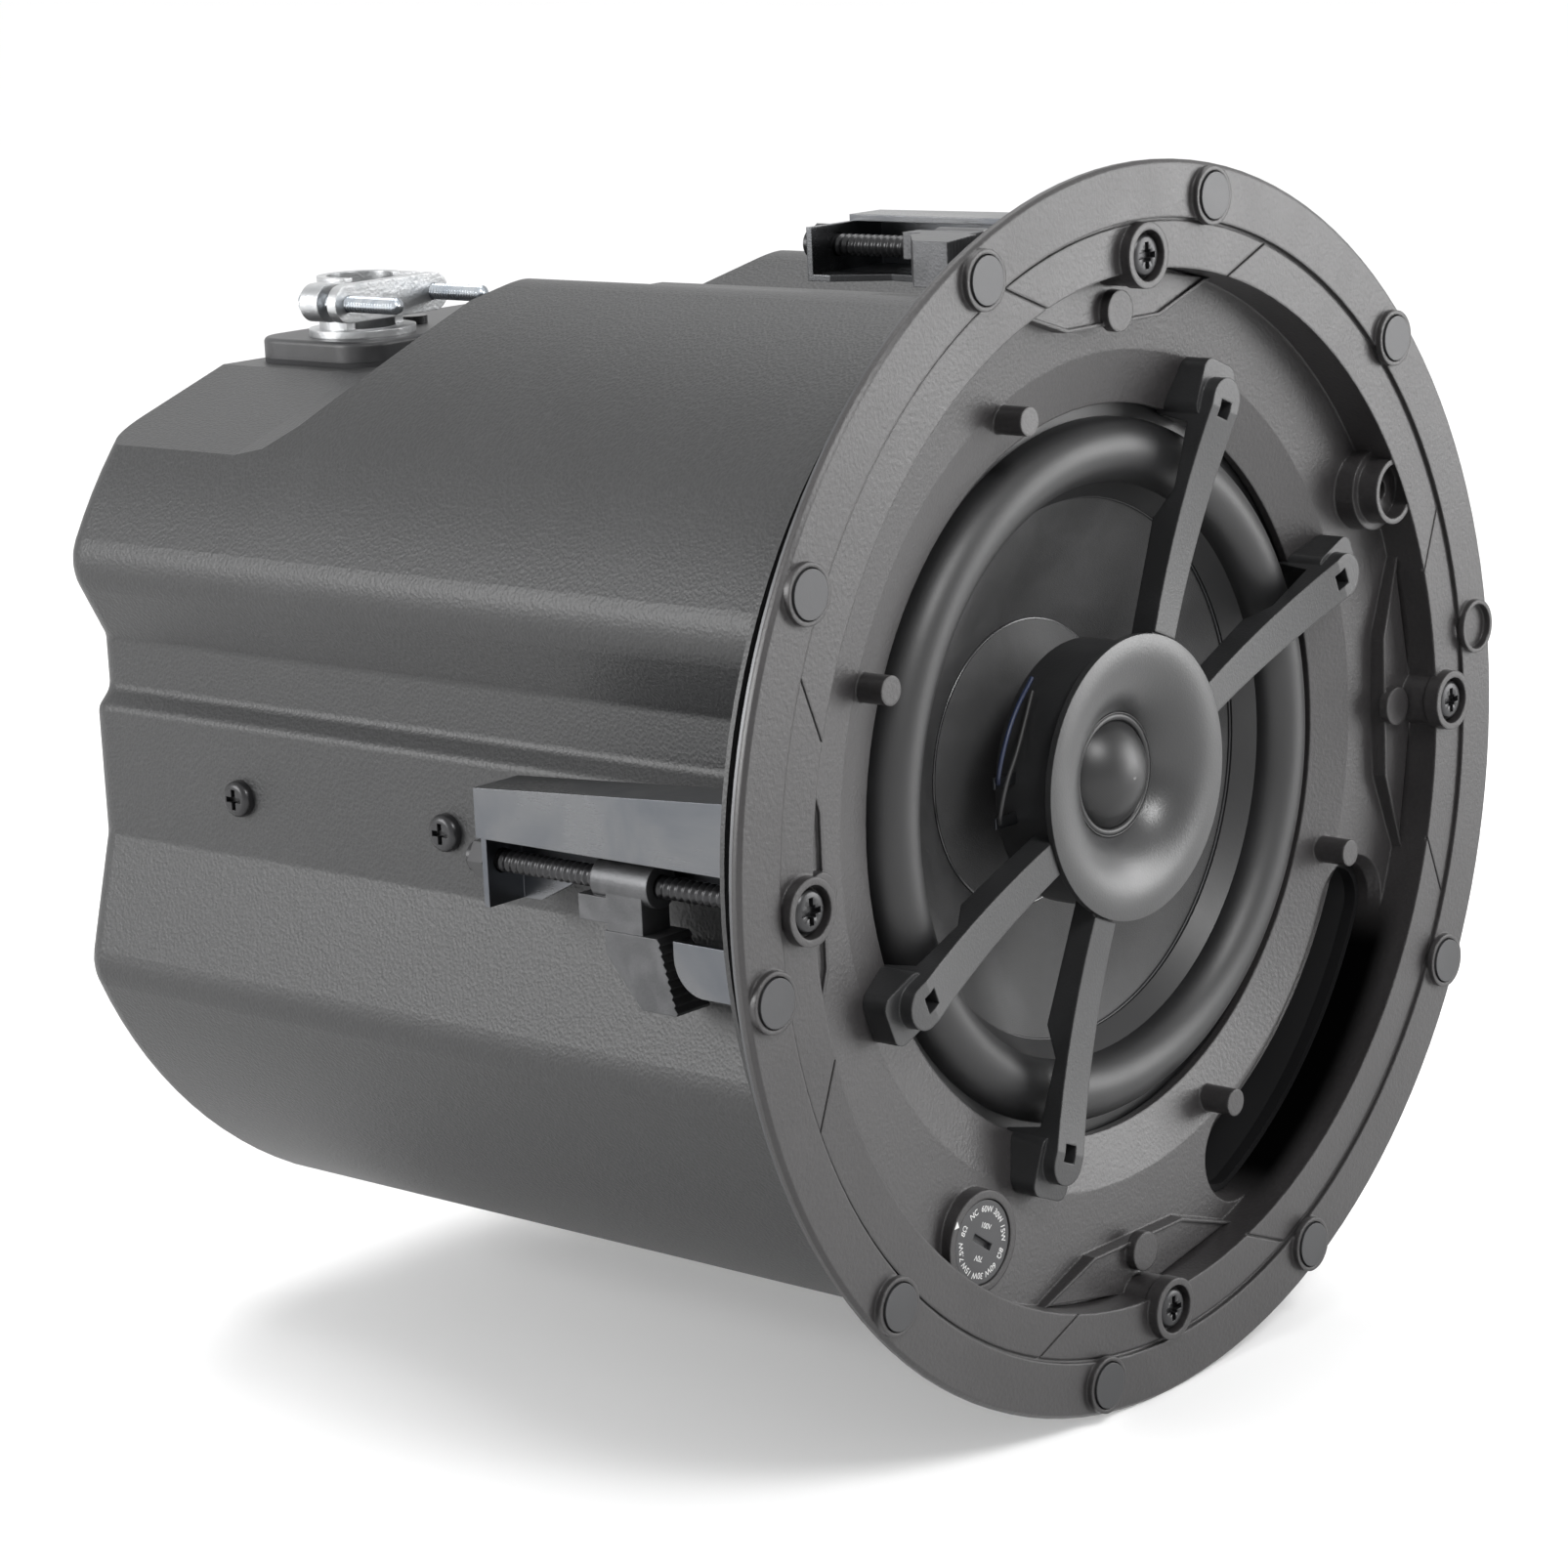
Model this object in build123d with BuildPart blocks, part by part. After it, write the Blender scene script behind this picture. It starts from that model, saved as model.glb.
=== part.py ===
from build123d import *
from math import asin, cos, degrees, hypot, radians, sin, sqrt, tan
import os

# Flush-mount coaxial loudspeaker with a steel back can.
# Y runs along the axis: the baffle looks to -Y and the can reaches to +Y.
# The origin is on the axis, on the plane where the flange seats on the ceiling.
# All sizes are in millimetres.

# Flange and baffle dish
flange_radius = 140.0
rim_edge_bevel = 0.8
ring_thickness = 1.0
ring_inset = 1.0
ring_outer_radius = flange_radius - ring_inset
collar_inset = 12.0
collar_radius = flange_radius - collar_inset
collar_length = 8.0
collar_wall = 1.2
rim_gasket_thickness = 0.6
rim_gasket_inset = 0.5
rim_gasket_inner = collar_radius - ring_inset
rim_gasket_outer = ring_outer_radius - rim_gasket_inset
rim_thickness = 2.0
ledge_radius = collar_radius - rim_gasket_inset
ledge_width = 11.0
ledge_drop = 0.8
ledge_groove_width = 0.8
ledge_groove_depth = 0.5
dish_radius = ledge_radius - ledge_width
dish_wall = 2.5
shoulder_inset = 2.5
shoulder_radius = collar_radius - shoulder_inset
shoulder_front = 7.5
skirt_length = 10.0
dish_wall_depth = 7.0
floor_thickness = 2.2
lip_rear = 14.0
lip_land_width = 4.0

# Common axis of woofer and tweeter, a little off the flange's axis
driver_x = 1.2
driver_z = 3.2
opening_radius = 83.0
opening_edge_depth = 12.0
band_width = 12.0
band_radius = opening_radius + band_width
band_depth = 9.0
lip_land_radius = band_radius + lip_land_width

# Raised lens pads beside the clamps
pad_reach = 12.0
pad_chord = dish_radius - pad_reach
pad_half_flat = 17.0
pad_half_width = 36.0
pad_depth = 5.0
pad_ridge_height = 0.8
pad_ridge_inset = 2.2
pad_bump_radius = 4.6
pad_bump_inset = 9.0
pad_bump_circle = dish_radius - pad_bump_inset
pad_bump_height = 2.5
slit_inner = 31.0
slit_outer = 47.0
slit_width = 1.4
slit_depth = 0.6

# Grille magnets on the rim
magnet_inset = 7.2
magnet_circle = flange_radius - magnet_inset
magnet_count = 10
magnet_first_angle = 79.0
open_boss_index = 2
magnet_radius = 5.2
magnet_thickness = 2.2
magnet_pocket_clearance = 0.3
magnet_boss_radius = 6.5
magnet_boss_height = 1.5
magnet_seat = 0.3

# Locating posts round the opening
post_inset = 3.5
post_circle = band_radius - post_inset
post_radius = 3.2
post_front = 2.2
post_angles = (112.5, 157.5, 292.5, 337.5)

# Keyhole boss for the safety cord
keyhole_inset = 3.0
keyhole_circle = dish_radius - keyhole_inset
keyhole_angle = 28.3
keyhole_outer_radius = 9.6
keyhole_inner_radius = 7.8
keyhole_front = -2.4
keyhole_step = 3.0
keyhole_wall = 1.3
keyhole_recess_depth = 4.0
keyhole_hole_radius = 2.2
keyhole_hole_depth = 8.0
keyhole_slot_reach = 7.0
keyhole_slot_circle = keyhole_circle + keyhole_slot_reach
keyhole_slot_angle = 31.0
keyhole_slot_radius = 3.6

# Bass port, a kidney concentric with the dish and flush with its wall
port_half_width = 10.3
port_mid_radius = dish_radius - port_half_width
port_half_angle = 19.5
port_angle = -46.0
port_wall = 1.6
port_fit = 0.2
port_collar_rear = 16.0
port_plug_front = 13.0
port_flare = 1.6
port_flare_angle = 1.0
port_flare_front = 6.0
port_flare_rear = 10.5
port_wall_front = 8.2
duct_shift = 6.2
duct_mid_radius = port_mid_radius - duct_shift
duct_half_width = 8.0
duct_half_angle = 15.0
duct_neck = 40.0
duct_rear = 104.0

# Tap selector
selector_x = -56.5
selector_z = -89.7
dial_radius = 9.4
dial_gap = 0.3
dial_front = 4.9
dial_thickness = 2.4
selector_boss_wall = 1.9
selector_boss_front = 4.6
dial_slot_length = 7.0
dial_slot_width = 1.6
dial_slot_depth = 1.2
dial_pointer_angle = 145.0
dial_shaft_radius = 3.0
shaft_clearance = 0.08
shaft_rear = 20.0
switch_radius = 11.5
switch_rear = 26.0
switch_hole_rear = 20.4

# Clamps: four, a quarter turn apart
clamp_offset = 3.25
clamp_circle = dish_radius + clamp_offset
clamp_count = 4
screw_radius = 2.5
screw_hole_radius = 2.9
screw_head_radius = 4.7
screw_head_height = 2.6
screw_head_seat = -2.4
screw_head_round = 0.8
screw_tail = 90.5
screw_recess_width = 1.3
screw_recess_length = 5.4
screw_recess_depth = 1.5
boss_radius = 7.2
boss_foot_radius = 6.8
boss_front = -5.5
boss_wall = 1.6
tower_radius = 5.0
bracket_sheet = 1.5
bracket_rear = 83.5
bracket_depth_inside = 7.45
bracket_depth_outside = 6.25
bracket_inner = clamp_circle - bracket_depth_inside
bracket_outer = clamp_circle + bracket_depth_outside
web_near = -6.0
web_far_rear = -17.0
web_far_front = -21.5
lug_near = 9.5
lug_front_edge = 77.0
lug_hole_radius = 2.7
neck_depth = 64.0
neck_edge = 3.0
plate_depth = 52.0
plate_edge_near = 4.5
tab_near = 9.2
tab_far = 20.5
tab_length = 15.5
tab_round = 8.0
dog_boss_radius = 4.7
dog_front = 36.0
dog_rear = 52.0
dog_bore_clearance = 0.05
dog_arm_half_depth = 4.25
dog_arm_inner = clamp_circle - dog_arm_half_depth
dog_arm_outer = clamp_circle + dog_arm_half_depth
dog_arm_front = 38.0
dog_arm_rear = 48.0
dog_blade_near = 10.0
dog_reach = 26.0
dog_blade_front = 33.0
dog_tip_front = 28.5
dog_tip_rear = 39.0
dog_blade_rear = 48.5
dog_blade_corner = 15.0
dog_blade_proud_inside = 1.3
dog_blade_proud_outside = 0.3
dog_blade_inner = dog_arm_inner - dog_blade_proud_inside
dog_blade_outer = dog_arm_outer + dog_blade_proud_outside
dog_finger_width = 6.0
dog_finger_inner = dog_arm_outer - dog_finger_width
dog_finger_rear = 56.0
dog_finger_near = 3.0
dog_finger_far = 8.5
tooth_count = 9
tooth_depth = 0.9
nut_flats = 8.0
nut_front = 83.8
nut_thickness = 4.5
nut_dome = 1.6

# Back can
can_inset = 4.0
can_radius = collar_radius - can_inset
can_wall = 1.2
can_rear = 232.0
can_rear_round = 7.0
can_flange_radius = collar_radius
can_gasket_thickness = 1.0
can_gasket_proud = 0.5
can_gasket_inner = dish_radius + dish_wall
can_gasket_outer = shoulder_radius + can_gasket_proud
bracket_standoff = 5.3
flat_distance = bracket_inner - bracket_standoff
flat_half_dog_side = 14.0
flat_half_web_side = 17.0
groove_depth = 4.0
groove_distance = flat_distance - groove_depth
groove_near = 21.0
groove_far = 33.0
ridge_dog_side = 21.5
ridge_web_side = 24.5
ridge_round = 13.0
step_round = 3.0

# Terminal recess, cover and cable clamp at the rear top
recess_drop = 32.0
recess_floor = can_radius - recess_drop
recess_half_flat = 56.0
recess_side_slope = 19.0
recess_slope_foot = 185.0
recess_slopes = ((8.0, 1.2), (8.0, 3.6), (60.0, 36.0))
cover_half_length = 50.0
cover_front = 189.5
cover_rear = 229.0
cover_height = 5.0
cover_wall = 1.6
cover_corner = 9.0
cover_edge_round = 1.2
cover_gasket_thickness = 1.0
cover_gasket_width = 3.0
cover_screw_radius = 1.8
cover_screw_head = 3.4
cover_screw_head_height = 2.0
cover_screw_length = 9.0
cover_screw_xs = (-13.0, 43.0)
cable_x = -33.0
cable_y = 206.5
knockout_radius = 10.6
throat_radius = 8.0
clamp_disc_radius = 13.0
clamp_disc_thickness = 1.8
clamp_barrel_radius = 10.4
clamp_body_height = 12.5
ear_spacing = 28.5
ear_radius = 4.6
ear_front = 202.0
ear_rear = 208.0
ear_height = 107.0
squeeze_screw_radius = 2.0
squeeze_screw_tail = 178.5
squeeze_head_radius = 3.4
squeeze_head_height = 2.6
saddle_thickness = 3.0
saddle_rear = 198.5
locknut_radius = 13.5
locknut_thickness = 2.0
block_half_length = 21.0
block_half_width = 7.5
block_x = 17.0
block_rim = 3.0
block_depth = 12.0

# Woofer
basket_sheet = 1.6
basket_flange_inset = 1.0
basket_flange_radius = band_radius - basket_flange_inset
basket_lip_clearance = 1.0
basket_step_radius = opening_radius + basket_lip_clearance
basket_step_depth = 16.0
basket_seat_width = 5.5
basket_seat_radius = basket_step_radius - basket_seat_width
basket_wall_inset = 2.5
basket_wall_radius = basket_seat_radius - basket_wall_inset
basket_wall_skin = 2.3
basket_waist_skin = 0.9
basket_wall_depth = 20.0
basket_waist_radius = 47.0
basket_waist_depth = 56.0
basket_bore = 20.0
surround_lip_gap = 0.4
surround_lip_radius = basket_step_radius - surround_lip_gap
surround_lip_width = 11.0
surround_roll_radius = 6.9
surround_roll_centre = surround_lip_radius - surround_lip_width
surround_thickness = 0.8
surround_foot_radius = surround_roll_centre - surround_lip_width
surround_foot_depth = 19.6
cone_glue_width = 2.9
cone_edge_radius = surround_foot_radius + cone_glue_width
cone_glue_margin = 0.1
cone_edge_depth = 19.2
cone_slope = 0.478
cone_thickness = 0.8
cap_radius = 33.0
cap_height = 5.0
cap_thickness = 0.5
former_radius = 13.0
former_thickness = 0.5
former_front = 43.0
former_rear = 66.0
winding_thickness = 0.5
winding_front = 54.0
winding_rear = 65.5
spider_depth = 50.0
spider_thickness = 0.6
spider_outer_radius = 50.9
spider_wave = 1.5
spider_waves = 5
motor_front = 58.0
top_plate_thickness = 5.0
top_plate_radius = 42.0
top_plate_bore = 14.4
magnet_ring_radius = 46.0
magnet_ring_bore = 24.0
magnet_ring_thickness = 15.0
yoke_thickness = 6.0
pole_radius = 12.4
pole_bore = 5.0
window_count = 10
window_half_angle = 9.0
window_front = 26.0
window_rear = 45.0
woofer_screw_count = 8
woofer_screw_radius = 1.8
woofer_screw_head = 3.4
woofer_screw_head_height = 2.2
woofer_screw_inset = 4.0
woofer_screw_circle = basket_flange_radius - woofer_screw_inset
woofer_screw_bite = 3.0

# Tweeter on its bridge
plate_radius = 32.3
plate_front = 1.9
hub_front = 3.5
throat_radius_front = 14.2
throat_depth = 8.8
flare_radius = 19.0
flare_depth = 4.2
plate_overhang = 2.3
hub_wall = 3.0
plug_gap = 0.3
hub_radius = plate_radius - plate_overhang
hub_bore = hub_radius - hub_wall
plug_radius = hub_bore - plug_gap
hub_rear = 19.0
hub_floor = 1.8
arm_root_half_width = 3.9
arm_tip_half_width = 5.1
arm_front_inner = 2.8
arm_front_middle = 2.4
arm_front_outer = -0.8
arm_front_knee = opening_radius + 2.0
arm_end_radius = opening_radius + 9.2
arm_root_rear = 9.0
arm_mid_radius = opening_radius - 25.0
arm_mid_rear = 9.4
arm_over_inner = opening_radius - 18.0
arm_over_outer = opening_radius - 2.5
arm_over_rear = 5.2
foot_half_width = 6.2
foot_corner = 3.0
foot_inner_radius = opening_radius - 1.0
foot_outer_radius = opening_radius + 12.8
foot_front = 2.6
hook_hole = 4.0
hook_hole_radius = opening_radius + 2.0
hook_hole_depth = 4.0
arm_angles = (22.5, 67.5, 202.5, 247.5)
dome_radius = 12.2
dome_height = 6.3
dome_seat_radius = 14.0
dome_roll_height = 0.8
dome_thickness = 0.35
tweeter_face = 9.6
tweeter_plate_thickness = 2.0
tweeter_plate_gap = 1.0
tweeter_plate_radius = hub_bore - tweeter_plate_gap
tweeter_gap_radius = 12.6
tweeter_pole_radius = 11.5
tweeter_pole_drop = 0.3
tweeter_coil_radius = 11.8
tweeter_coil_thickness = 0.3
tweeter_coil_front = 9.3
tweeter_coil_rear = 12.6
tweeter_magnet_outer = 22.0
tweeter_magnet_bore = 15.4
tweeter_magnet_thickness = 3.5
tweeter_yoke_thickness = 1.8
tag_inset = 0.5
tag_length = 9.5
tag_inner_radius = hub_bore + tag_inset
tag_outer_radius = tag_inner_radius + tag_length
tag_width = 2.6
tag_thickness = 0.6
tag_spacing = 9.0
tag_depth = 13.5

# Parts fixed inside the can
transformer_first = 111.5
transformer_pitch = 67.5
transformer_length = 54.0
transformer_width = 34.0
transformer_height = 34.0
transformer_foot_thickness = 1.5
transformer_foot_width = 16.0
transformer_foot_margin = 7.0
transformer_coil_proud = 8.0
transformer_coil_width = 26.0
pan_head_radius = 4.3
pan_head_height = 2.6
pan_head_round = 1.6
pan_screw_radius = 2.0
pan_screw_hole = 2.2
pan_screw_length = 6.0
board_half_width = 34.0
board_length = 70.0
board_thickness = 1.6
board_height = -88.0
board_front = 120.0
board_post_radius = 3.0
board_post_x = 11.0
board_post_inset = 6.0
inductor_radius = 15.0
inductor_bore = 6.0
inductor_height = 14.0
capacitor_radius = 7.0
capacitor_length = 24.0
wadding_thickness = 13.0
wadding_radius = 88.0

# Planes that follow from the sizes
rim_rear = -(ring_thickness + rim_gasket_thickness)
rim_front = rim_rear - rim_thickness
ledge_front = rim_front + ledge_drop
screw_head_front = screw_head_seat - screw_head_height
can_front = skirt_length + can_gasket_thickness
bracket_front = can_front + can_wall
cover_foot = recess_floor + cover_gasket_thickness
cover_top = cover_foot + cover_height
cover_y = (cover_front + cover_rear) / 2
clamp_seat = cover_top + clamp_disc_thickness
band_slope = (band_depth - dish_wall_depth) / (dish_radius - band_radius)
surround_lip_front = basket_step_depth - surround_thickness
magnet_front = motor_front + top_plate_thickness
yoke_front = magnet_front + magnet_ring_thickness
tweeter_magnet_front = tweeter_face + tweeter_plate_thickness
tweeter_yoke_front = tweeter_magnet_front + tweeter_magnet_thickness
magnet_angles = [magnet_first_angle - 360 / magnet_count * step for step in range(magnet_count)]
clamp_angles = [180 + 360 / clamp_count * step for step in range(clamp_count)]
driver_plane = Plane(origin=(driver_x, 0, driver_z), x_dir=(1, 0, 0), z_dir=(0, 0, 1))
driver_axis = Axis((driver_x, 0, driver_z), (0, 1, 0))


def front_plane(y):
    """Plane facing the listener at depth y, with X to the right and Z up."""
    return Plane.XZ.offset(-y)


def clamp_plane(y, angle):
    """Plane at depth y whose first axis points outward through a clamp."""
    outward = (cos(radians(angle)), 0, sin(radians(angle)))
    return Plane(origin=(0, y, 0), x_dir=outward, z_dir=(0, -1, 0))


def polar(radius, angle):
    """Point in the XZ plane at an angle counted from +X towards +Z."""
    return (radius * cos(radians(angle)), radius * sin(radians(angle)))


def driver_polar(radius, angle):
    """The same, counted from the drivers' axis."""
    x, z = polar(radius, angle)
    return (x + driver_x, z + driver_z)


def cone_depth(radius):
    """Depth of the cone's front face at a radius."""
    return cone_edge_depth + (cone_edge_radius - radius) * cone_slope


def export(part, name):
    """Label a finished piece and write it."""
    part.label = name
    export_step(part, f"parts/{name}.step")


def kidney(y, mid_radius, half_width, half_angle):
    """Kidney-shaped face about the port's centre line at depth y."""
    first = port_angle - half_angle
    last = port_angle + half_angle
    with BuildSketch(front_plane(y), mode=Mode.PRIVATE) as shape:
        with BuildLine():
            CenterArc((0, 0), mid_radius + half_width, first, 2 * half_angle)
            CenterArc((0, 0), mid_radius - half_width, first, 2 * half_angle)
            CenterArc(polar(mid_radius, first), half_width, first + 180, 180)
            CenterArc(polar(mid_radius, last), half_width, last, 180)
        make_face()
    return shape.sketch


def crown_arc(crown, height, radius):
    """Arc of a shallow cap, from its crown on the axis out to its rim."""
    curve = (radius**2 + height**2) / (2 * height)
    return CenterArc((0, crown + curve), curve, -90, degrees(asin(radius / curve)))


def turned(*profile):
    """Solid turned about the drivers' axis from (radius, depth) points."""
    with BuildPart(mode=Mode.PRIVATE) as ring:
        with BuildSketch(driver_plane):
            with BuildLine():
                Polyline(*profile, close=True)
            make_face()
        revolve(axis=driver_axis)
    return ring.part


os.makedirs("parts", exist_ok=True)


# Dish floor, turned about the drivers' axis and trimmed to the dish wall

far_radius = dish_radius + dish_wall + hypot(driver_x, driver_z)
far_depth = band_depth - (far_radius - band_radius) * band_slope
land_depth = band_depth - (lip_land_radius - band_radius) * band_slope + floor_thickness
with BuildPart() as dish_floor:
    with BuildSketch(driver_plane):
        with BuildLine():
            Polyline(
                (opening_radius, opening_edge_depth),
                (band_radius, band_depth),
                (far_radius, far_depth),
                (far_radius, far_depth + floor_thickness),
                (lip_land_radius, land_depth),
                (lip_land_radius, lip_rear),
                (opening_radius, lip_rear),
                close=True,
            )
        make_face()
    revolve(axis=driver_axis)
    with BuildSketch(front_plane(lip_rear)):
        Circle(dish_radius + dish_wall / 2)
    extrude(amount=lip_rear, mode=Mode.INTERSECT)

# Everything that stands in front of the floor may not pass behind this face
floor_backing = turned(
    (opening_radius, opening_edge_depth),
    (band_radius, band_depth),
    (far_radius, far_depth),
    (far_radius, lip_rear + skirt_length),
    (opening_radius, lip_rear + skirt_length),
)


# Baffle: rim, ledge and dish with every boss in one moulding

with BuildPart() as baffle:
    with BuildSketch(Plane.XY):
        with BuildLine():
            Polyline(
                (dish_radius, ledge_front),
                (ledge_radius - ledge_groove_width, ledge_front),
                (ledge_radius - ledge_groove_width, ledge_front + ledge_groove_depth),
                (ledge_radius, ledge_front + ledge_groove_depth),
                (ledge_radius, rim_front),
                (flange_radius - rim_edge_bevel, rim_front),
                (flange_radius, rim_front + rim_edge_bevel),
                (flange_radius, rim_rear),
                (dish_radius + dish_wall, rim_rear),
                (dish_radius + dish_wall, shoulder_front),
                (shoulder_radius, shoulder_front),
                (shoulder_radius, skirt_length),
                (dish_radius, skirt_length),
                close=True,
            )
        make_face()
    revolve(axis=Axis.Y)
    add(dish_floor.part)
    # Lens pads with a low ridge along their inner edge
    pad_corner = sqrt(dish_radius**2 - pad_half_width**2)
    for angle in clamp_angles:
        with BuildSketch(clamp_plane(dish_wall_depth + 1, angle)):
            with BuildLine():
                Polyline(
                    (pad_chord, -pad_half_flat),
                    (pad_chord, pad_half_flat),
                    (pad_corner, pad_half_width),
                    (dish_radius + 1, 0),
                    (pad_corner, -pad_half_width),
                    close=True,
                )
            make_face()
        extrude(amount=dish_wall_depth + 1 - pad_depth)
        with BuildSketch(clamp_plane(pad_depth, angle)):
            with BuildLine():
                Polyline(
                    (pad_corner, -pad_half_width),
                    (pad_chord, -pad_half_flat),
                    (pad_chord, pad_half_flat),
                    (pad_corner, pad_half_width),
                    (pad_corner, pad_half_width - pad_ridge_inset),
                    (pad_chord + pad_ridge_height, pad_half_flat - pad_ridge_height / 2),
                    (pad_chord + pad_ridge_height, pad_ridge_height / 2 - pad_half_flat),
                    (pad_corner, pad_ridge_inset - pad_half_width),
                    close=True,
                )
            make_face()
        extrude(amount=pad_ridge_height)
    # Round features that stand up from the dish and the rim
    with BuildSketch(front_plane(skirt_length)):
        with Locations(*[polar(clamp_circle, angle) for angle in clamp_angles]):
            Circle(tower_radius)
    extrude(amount=skirt_length - boss_front)
    with BuildSketch(front_plane(dish_wall_depth)):
        with Locations(*[polar(clamp_circle, angle) for angle in clamp_angles]):
            Circle(boss_foot_radius)
    extrude(amount=dish_wall_depth - rim_rear)
    with BuildSketch(front_plane(rim_rear)):
        with Locations(*[polar(clamp_circle, angle) for angle in clamp_angles]):
            Circle(boss_radius)
    extrude(amount=rim_rear - boss_front)
    with BuildSketch(front_plane(pad_depth)):
        with Locations(*[polar(pad_bump_circle, angle) for angle in clamp_angles]):
            Circle(pad_bump_radius)
    extrude(amount=pad_bump_height)
    with BuildSketch(front_plane(rim_front)):
        with Locations(*[polar(magnet_circle, angle) for angle in magnet_angles]):
            Circle(magnet_boss_radius)
    extrude(amount=magnet_boss_height)
    with BuildSketch(front_plane(opening_edge_depth)):
        with Locations(*[driver_polar(post_circle, angle) for angle in post_angles]):
            Circle(post_radius)
    extrude(amount=opening_edge_depth - post_front)
    with BuildSketch(front_plane(skirt_length)):
        with Locations(polar(keyhole_circle, keyhole_angle)):
            Circle(keyhole_outer_radius)
    extrude(amount=skirt_length - keyhole_step)
    with BuildSketch(front_plane(keyhole_step)):
        with Locations(polar(keyhole_circle, keyhole_angle)):
            Circle(keyhole_inner_radius)
        with Locations(polar(keyhole_slot_circle, keyhole_slot_angle)):
            Circle(keyhole_slot_radius)
    extrude(amount=keyhole_step - keyhole_front)
    with BuildSketch(front_plane(lip_rear)):
        with Locations((selector_x, selector_z)):
            Circle(dial_radius + dial_gap + selector_boss_wall)
    extrude(amount=lip_rear - selector_boss_front)
    # Wall behind the port mouth
    wall_width = port_half_width + port_wall
    extrude(
        kidney(port_collar_rear, port_mid_radius, wall_width, port_half_angle),
        amount=port_collar_rear - port_wall_front,
    )
    # Pockets for screw heads, magnets, keyhole, dial and woofer screws
    with BuildSketch(front_plane(screw_head_seat)):
        with Locations(*[polar(clamp_circle, angle) for angle in clamp_angles]):
            Circle(boss_radius - boss_wall)
    extrude(amount=screw_head_seat - boss_front, mode=Mode.SUBTRACT)
    with BuildSketch(front_plane(skirt_length)):
        with Locations(*[polar(clamp_circle, angle) for angle in clamp_angles]):
            Circle(screw_hole_radius)
    extrude(amount=skirt_length - boss_front, mode=Mode.SUBTRACT)
    with BuildSketch(front_plane(rim_front + magnet_seat)):
        with Locations(*[polar(magnet_circle, angle) for angle in magnet_angles]):
            Circle(magnet_radius + magnet_pocket_clearance)
    extrude(amount=magnet_boss_height + magnet_seat, mode=Mode.SUBTRACT)
    with BuildSketch(front_plane(keyhole_front + keyhole_recess_depth)):
        with Locations(polar(keyhole_circle, keyhole_angle)):
            Circle(keyhole_inner_radius - keyhole_wall)
        with Locations(polar(keyhole_slot_circle, keyhole_slot_angle)):
            Circle(keyhole_slot_radius - keyhole_wall)
    extrude(amount=keyhole_recess_depth, mode=Mode.SUBTRACT)
    with BuildSketch(front_plane(keyhole_front + keyhole_hole_depth)):
        with Locations(polar(keyhole_circle, keyhole_angle)):
            Circle(keyhole_hole_radius)
    extrude(amount=keyhole_hole_depth, mode=Mode.SUBTRACT)
    with BuildSketch(front_plane(dial_front + dial_thickness + dial_gap)):
        with Locations((selector_x, selector_z)):
            Circle(dial_radius + dial_gap)
    extrude(amount=dial_front + dial_thickness, mode=Mode.SUBTRACT)
    with BuildSketch(front_plane(lip_rear)):
        with Locations((selector_x, selector_z)):
            Circle(dial_shaft_radius + shaft_clearance)
    extrude(amount=lip_rear - selector_boss_front, mode=Mode.SUBTRACT)
    with BuildSketch(front_plane(lip_rear)):
        with Locations((driver_x, driver_z)):
            with PolarLocations(woofer_screw_circle, woofer_screw_count):
                Circle(woofer_screw_radius)
    extrude(amount=woofer_screw_bite, mode=Mode.SUBTRACT)
    # Slits in the ledge from the ends of each pad
    groove_reach = ledge_radius - ledge_groove_width
    slit_start = sqrt(dish_radius**2 - slit_inner**2) - 1
    slit_end = sqrt(groove_reach**2 - slit_outer**2)
    for angle in clamp_angles:
        for side in (-1, 1):
            with BuildSketch(clamp_plane(ledge_front + slit_depth, angle)):
                with BuildLine():
                    Polyline(
                        (slit_start, side * slit_inner),
                        (slit_end, side * slit_outer),
                        (slit_end, side * (slit_outer + slit_width)),
                        (slit_start, side * (slit_inner + slit_width)),
                        close=True,
                    )
                make_face()
            extrude(amount=slit_depth + 0.1, mode=Mode.SUBTRACT)
    # Port mouth
    extrude(
        kidney(port_collar_rear, port_mid_radius, port_half_width, port_half_angle),
        amount=port_collar_rear - rim_front,
        mode=Mode.SUBTRACT,
    )
    flare_mid_radius = port_mid_radius - port_flare
    flare_width = port_half_width + port_flare
    flare_half_angle = port_half_angle + port_flare_angle
    flare_front = kidney(port_flare_front, flare_mid_radius, flare_width, flare_half_angle)
    flare_rear = kidney(port_flare_rear, port_mid_radius, port_half_width, port_half_angle)
    loft([flare_front, flare_rear], ruled=True, mode=Mode.SUBTRACT)
export(baffle.part, "baffle")


# Port duct: a plug in the mouth that narrows to a long kidney-shaped tube

with BuildPart() as port_duct:
    for shrink, action in ((0, Mode.ADD), (port_wall, Mode.SUBTRACT)):
        plug_width = port_half_width - port_fit - shrink
        tube_width = duct_half_width + port_wall - shrink
        plug = kidney(port_collar_rear, port_mid_radius, plug_width, port_half_angle)
        tube = kidney(duct_neck, duct_mid_radius, tube_width, duct_half_angle)
        extrude(plug, amount=port_collar_rear - port_plug_front, mode=action)
        loft([plug, tube], ruled=True, mode=action)
        extrude(tube, amount=duct_neck - duct_rear, mode=action)
export(port_duct.part, "port_duct")


# Rim hardware: seating ring with its collar, gaskets and grille magnets

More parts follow.
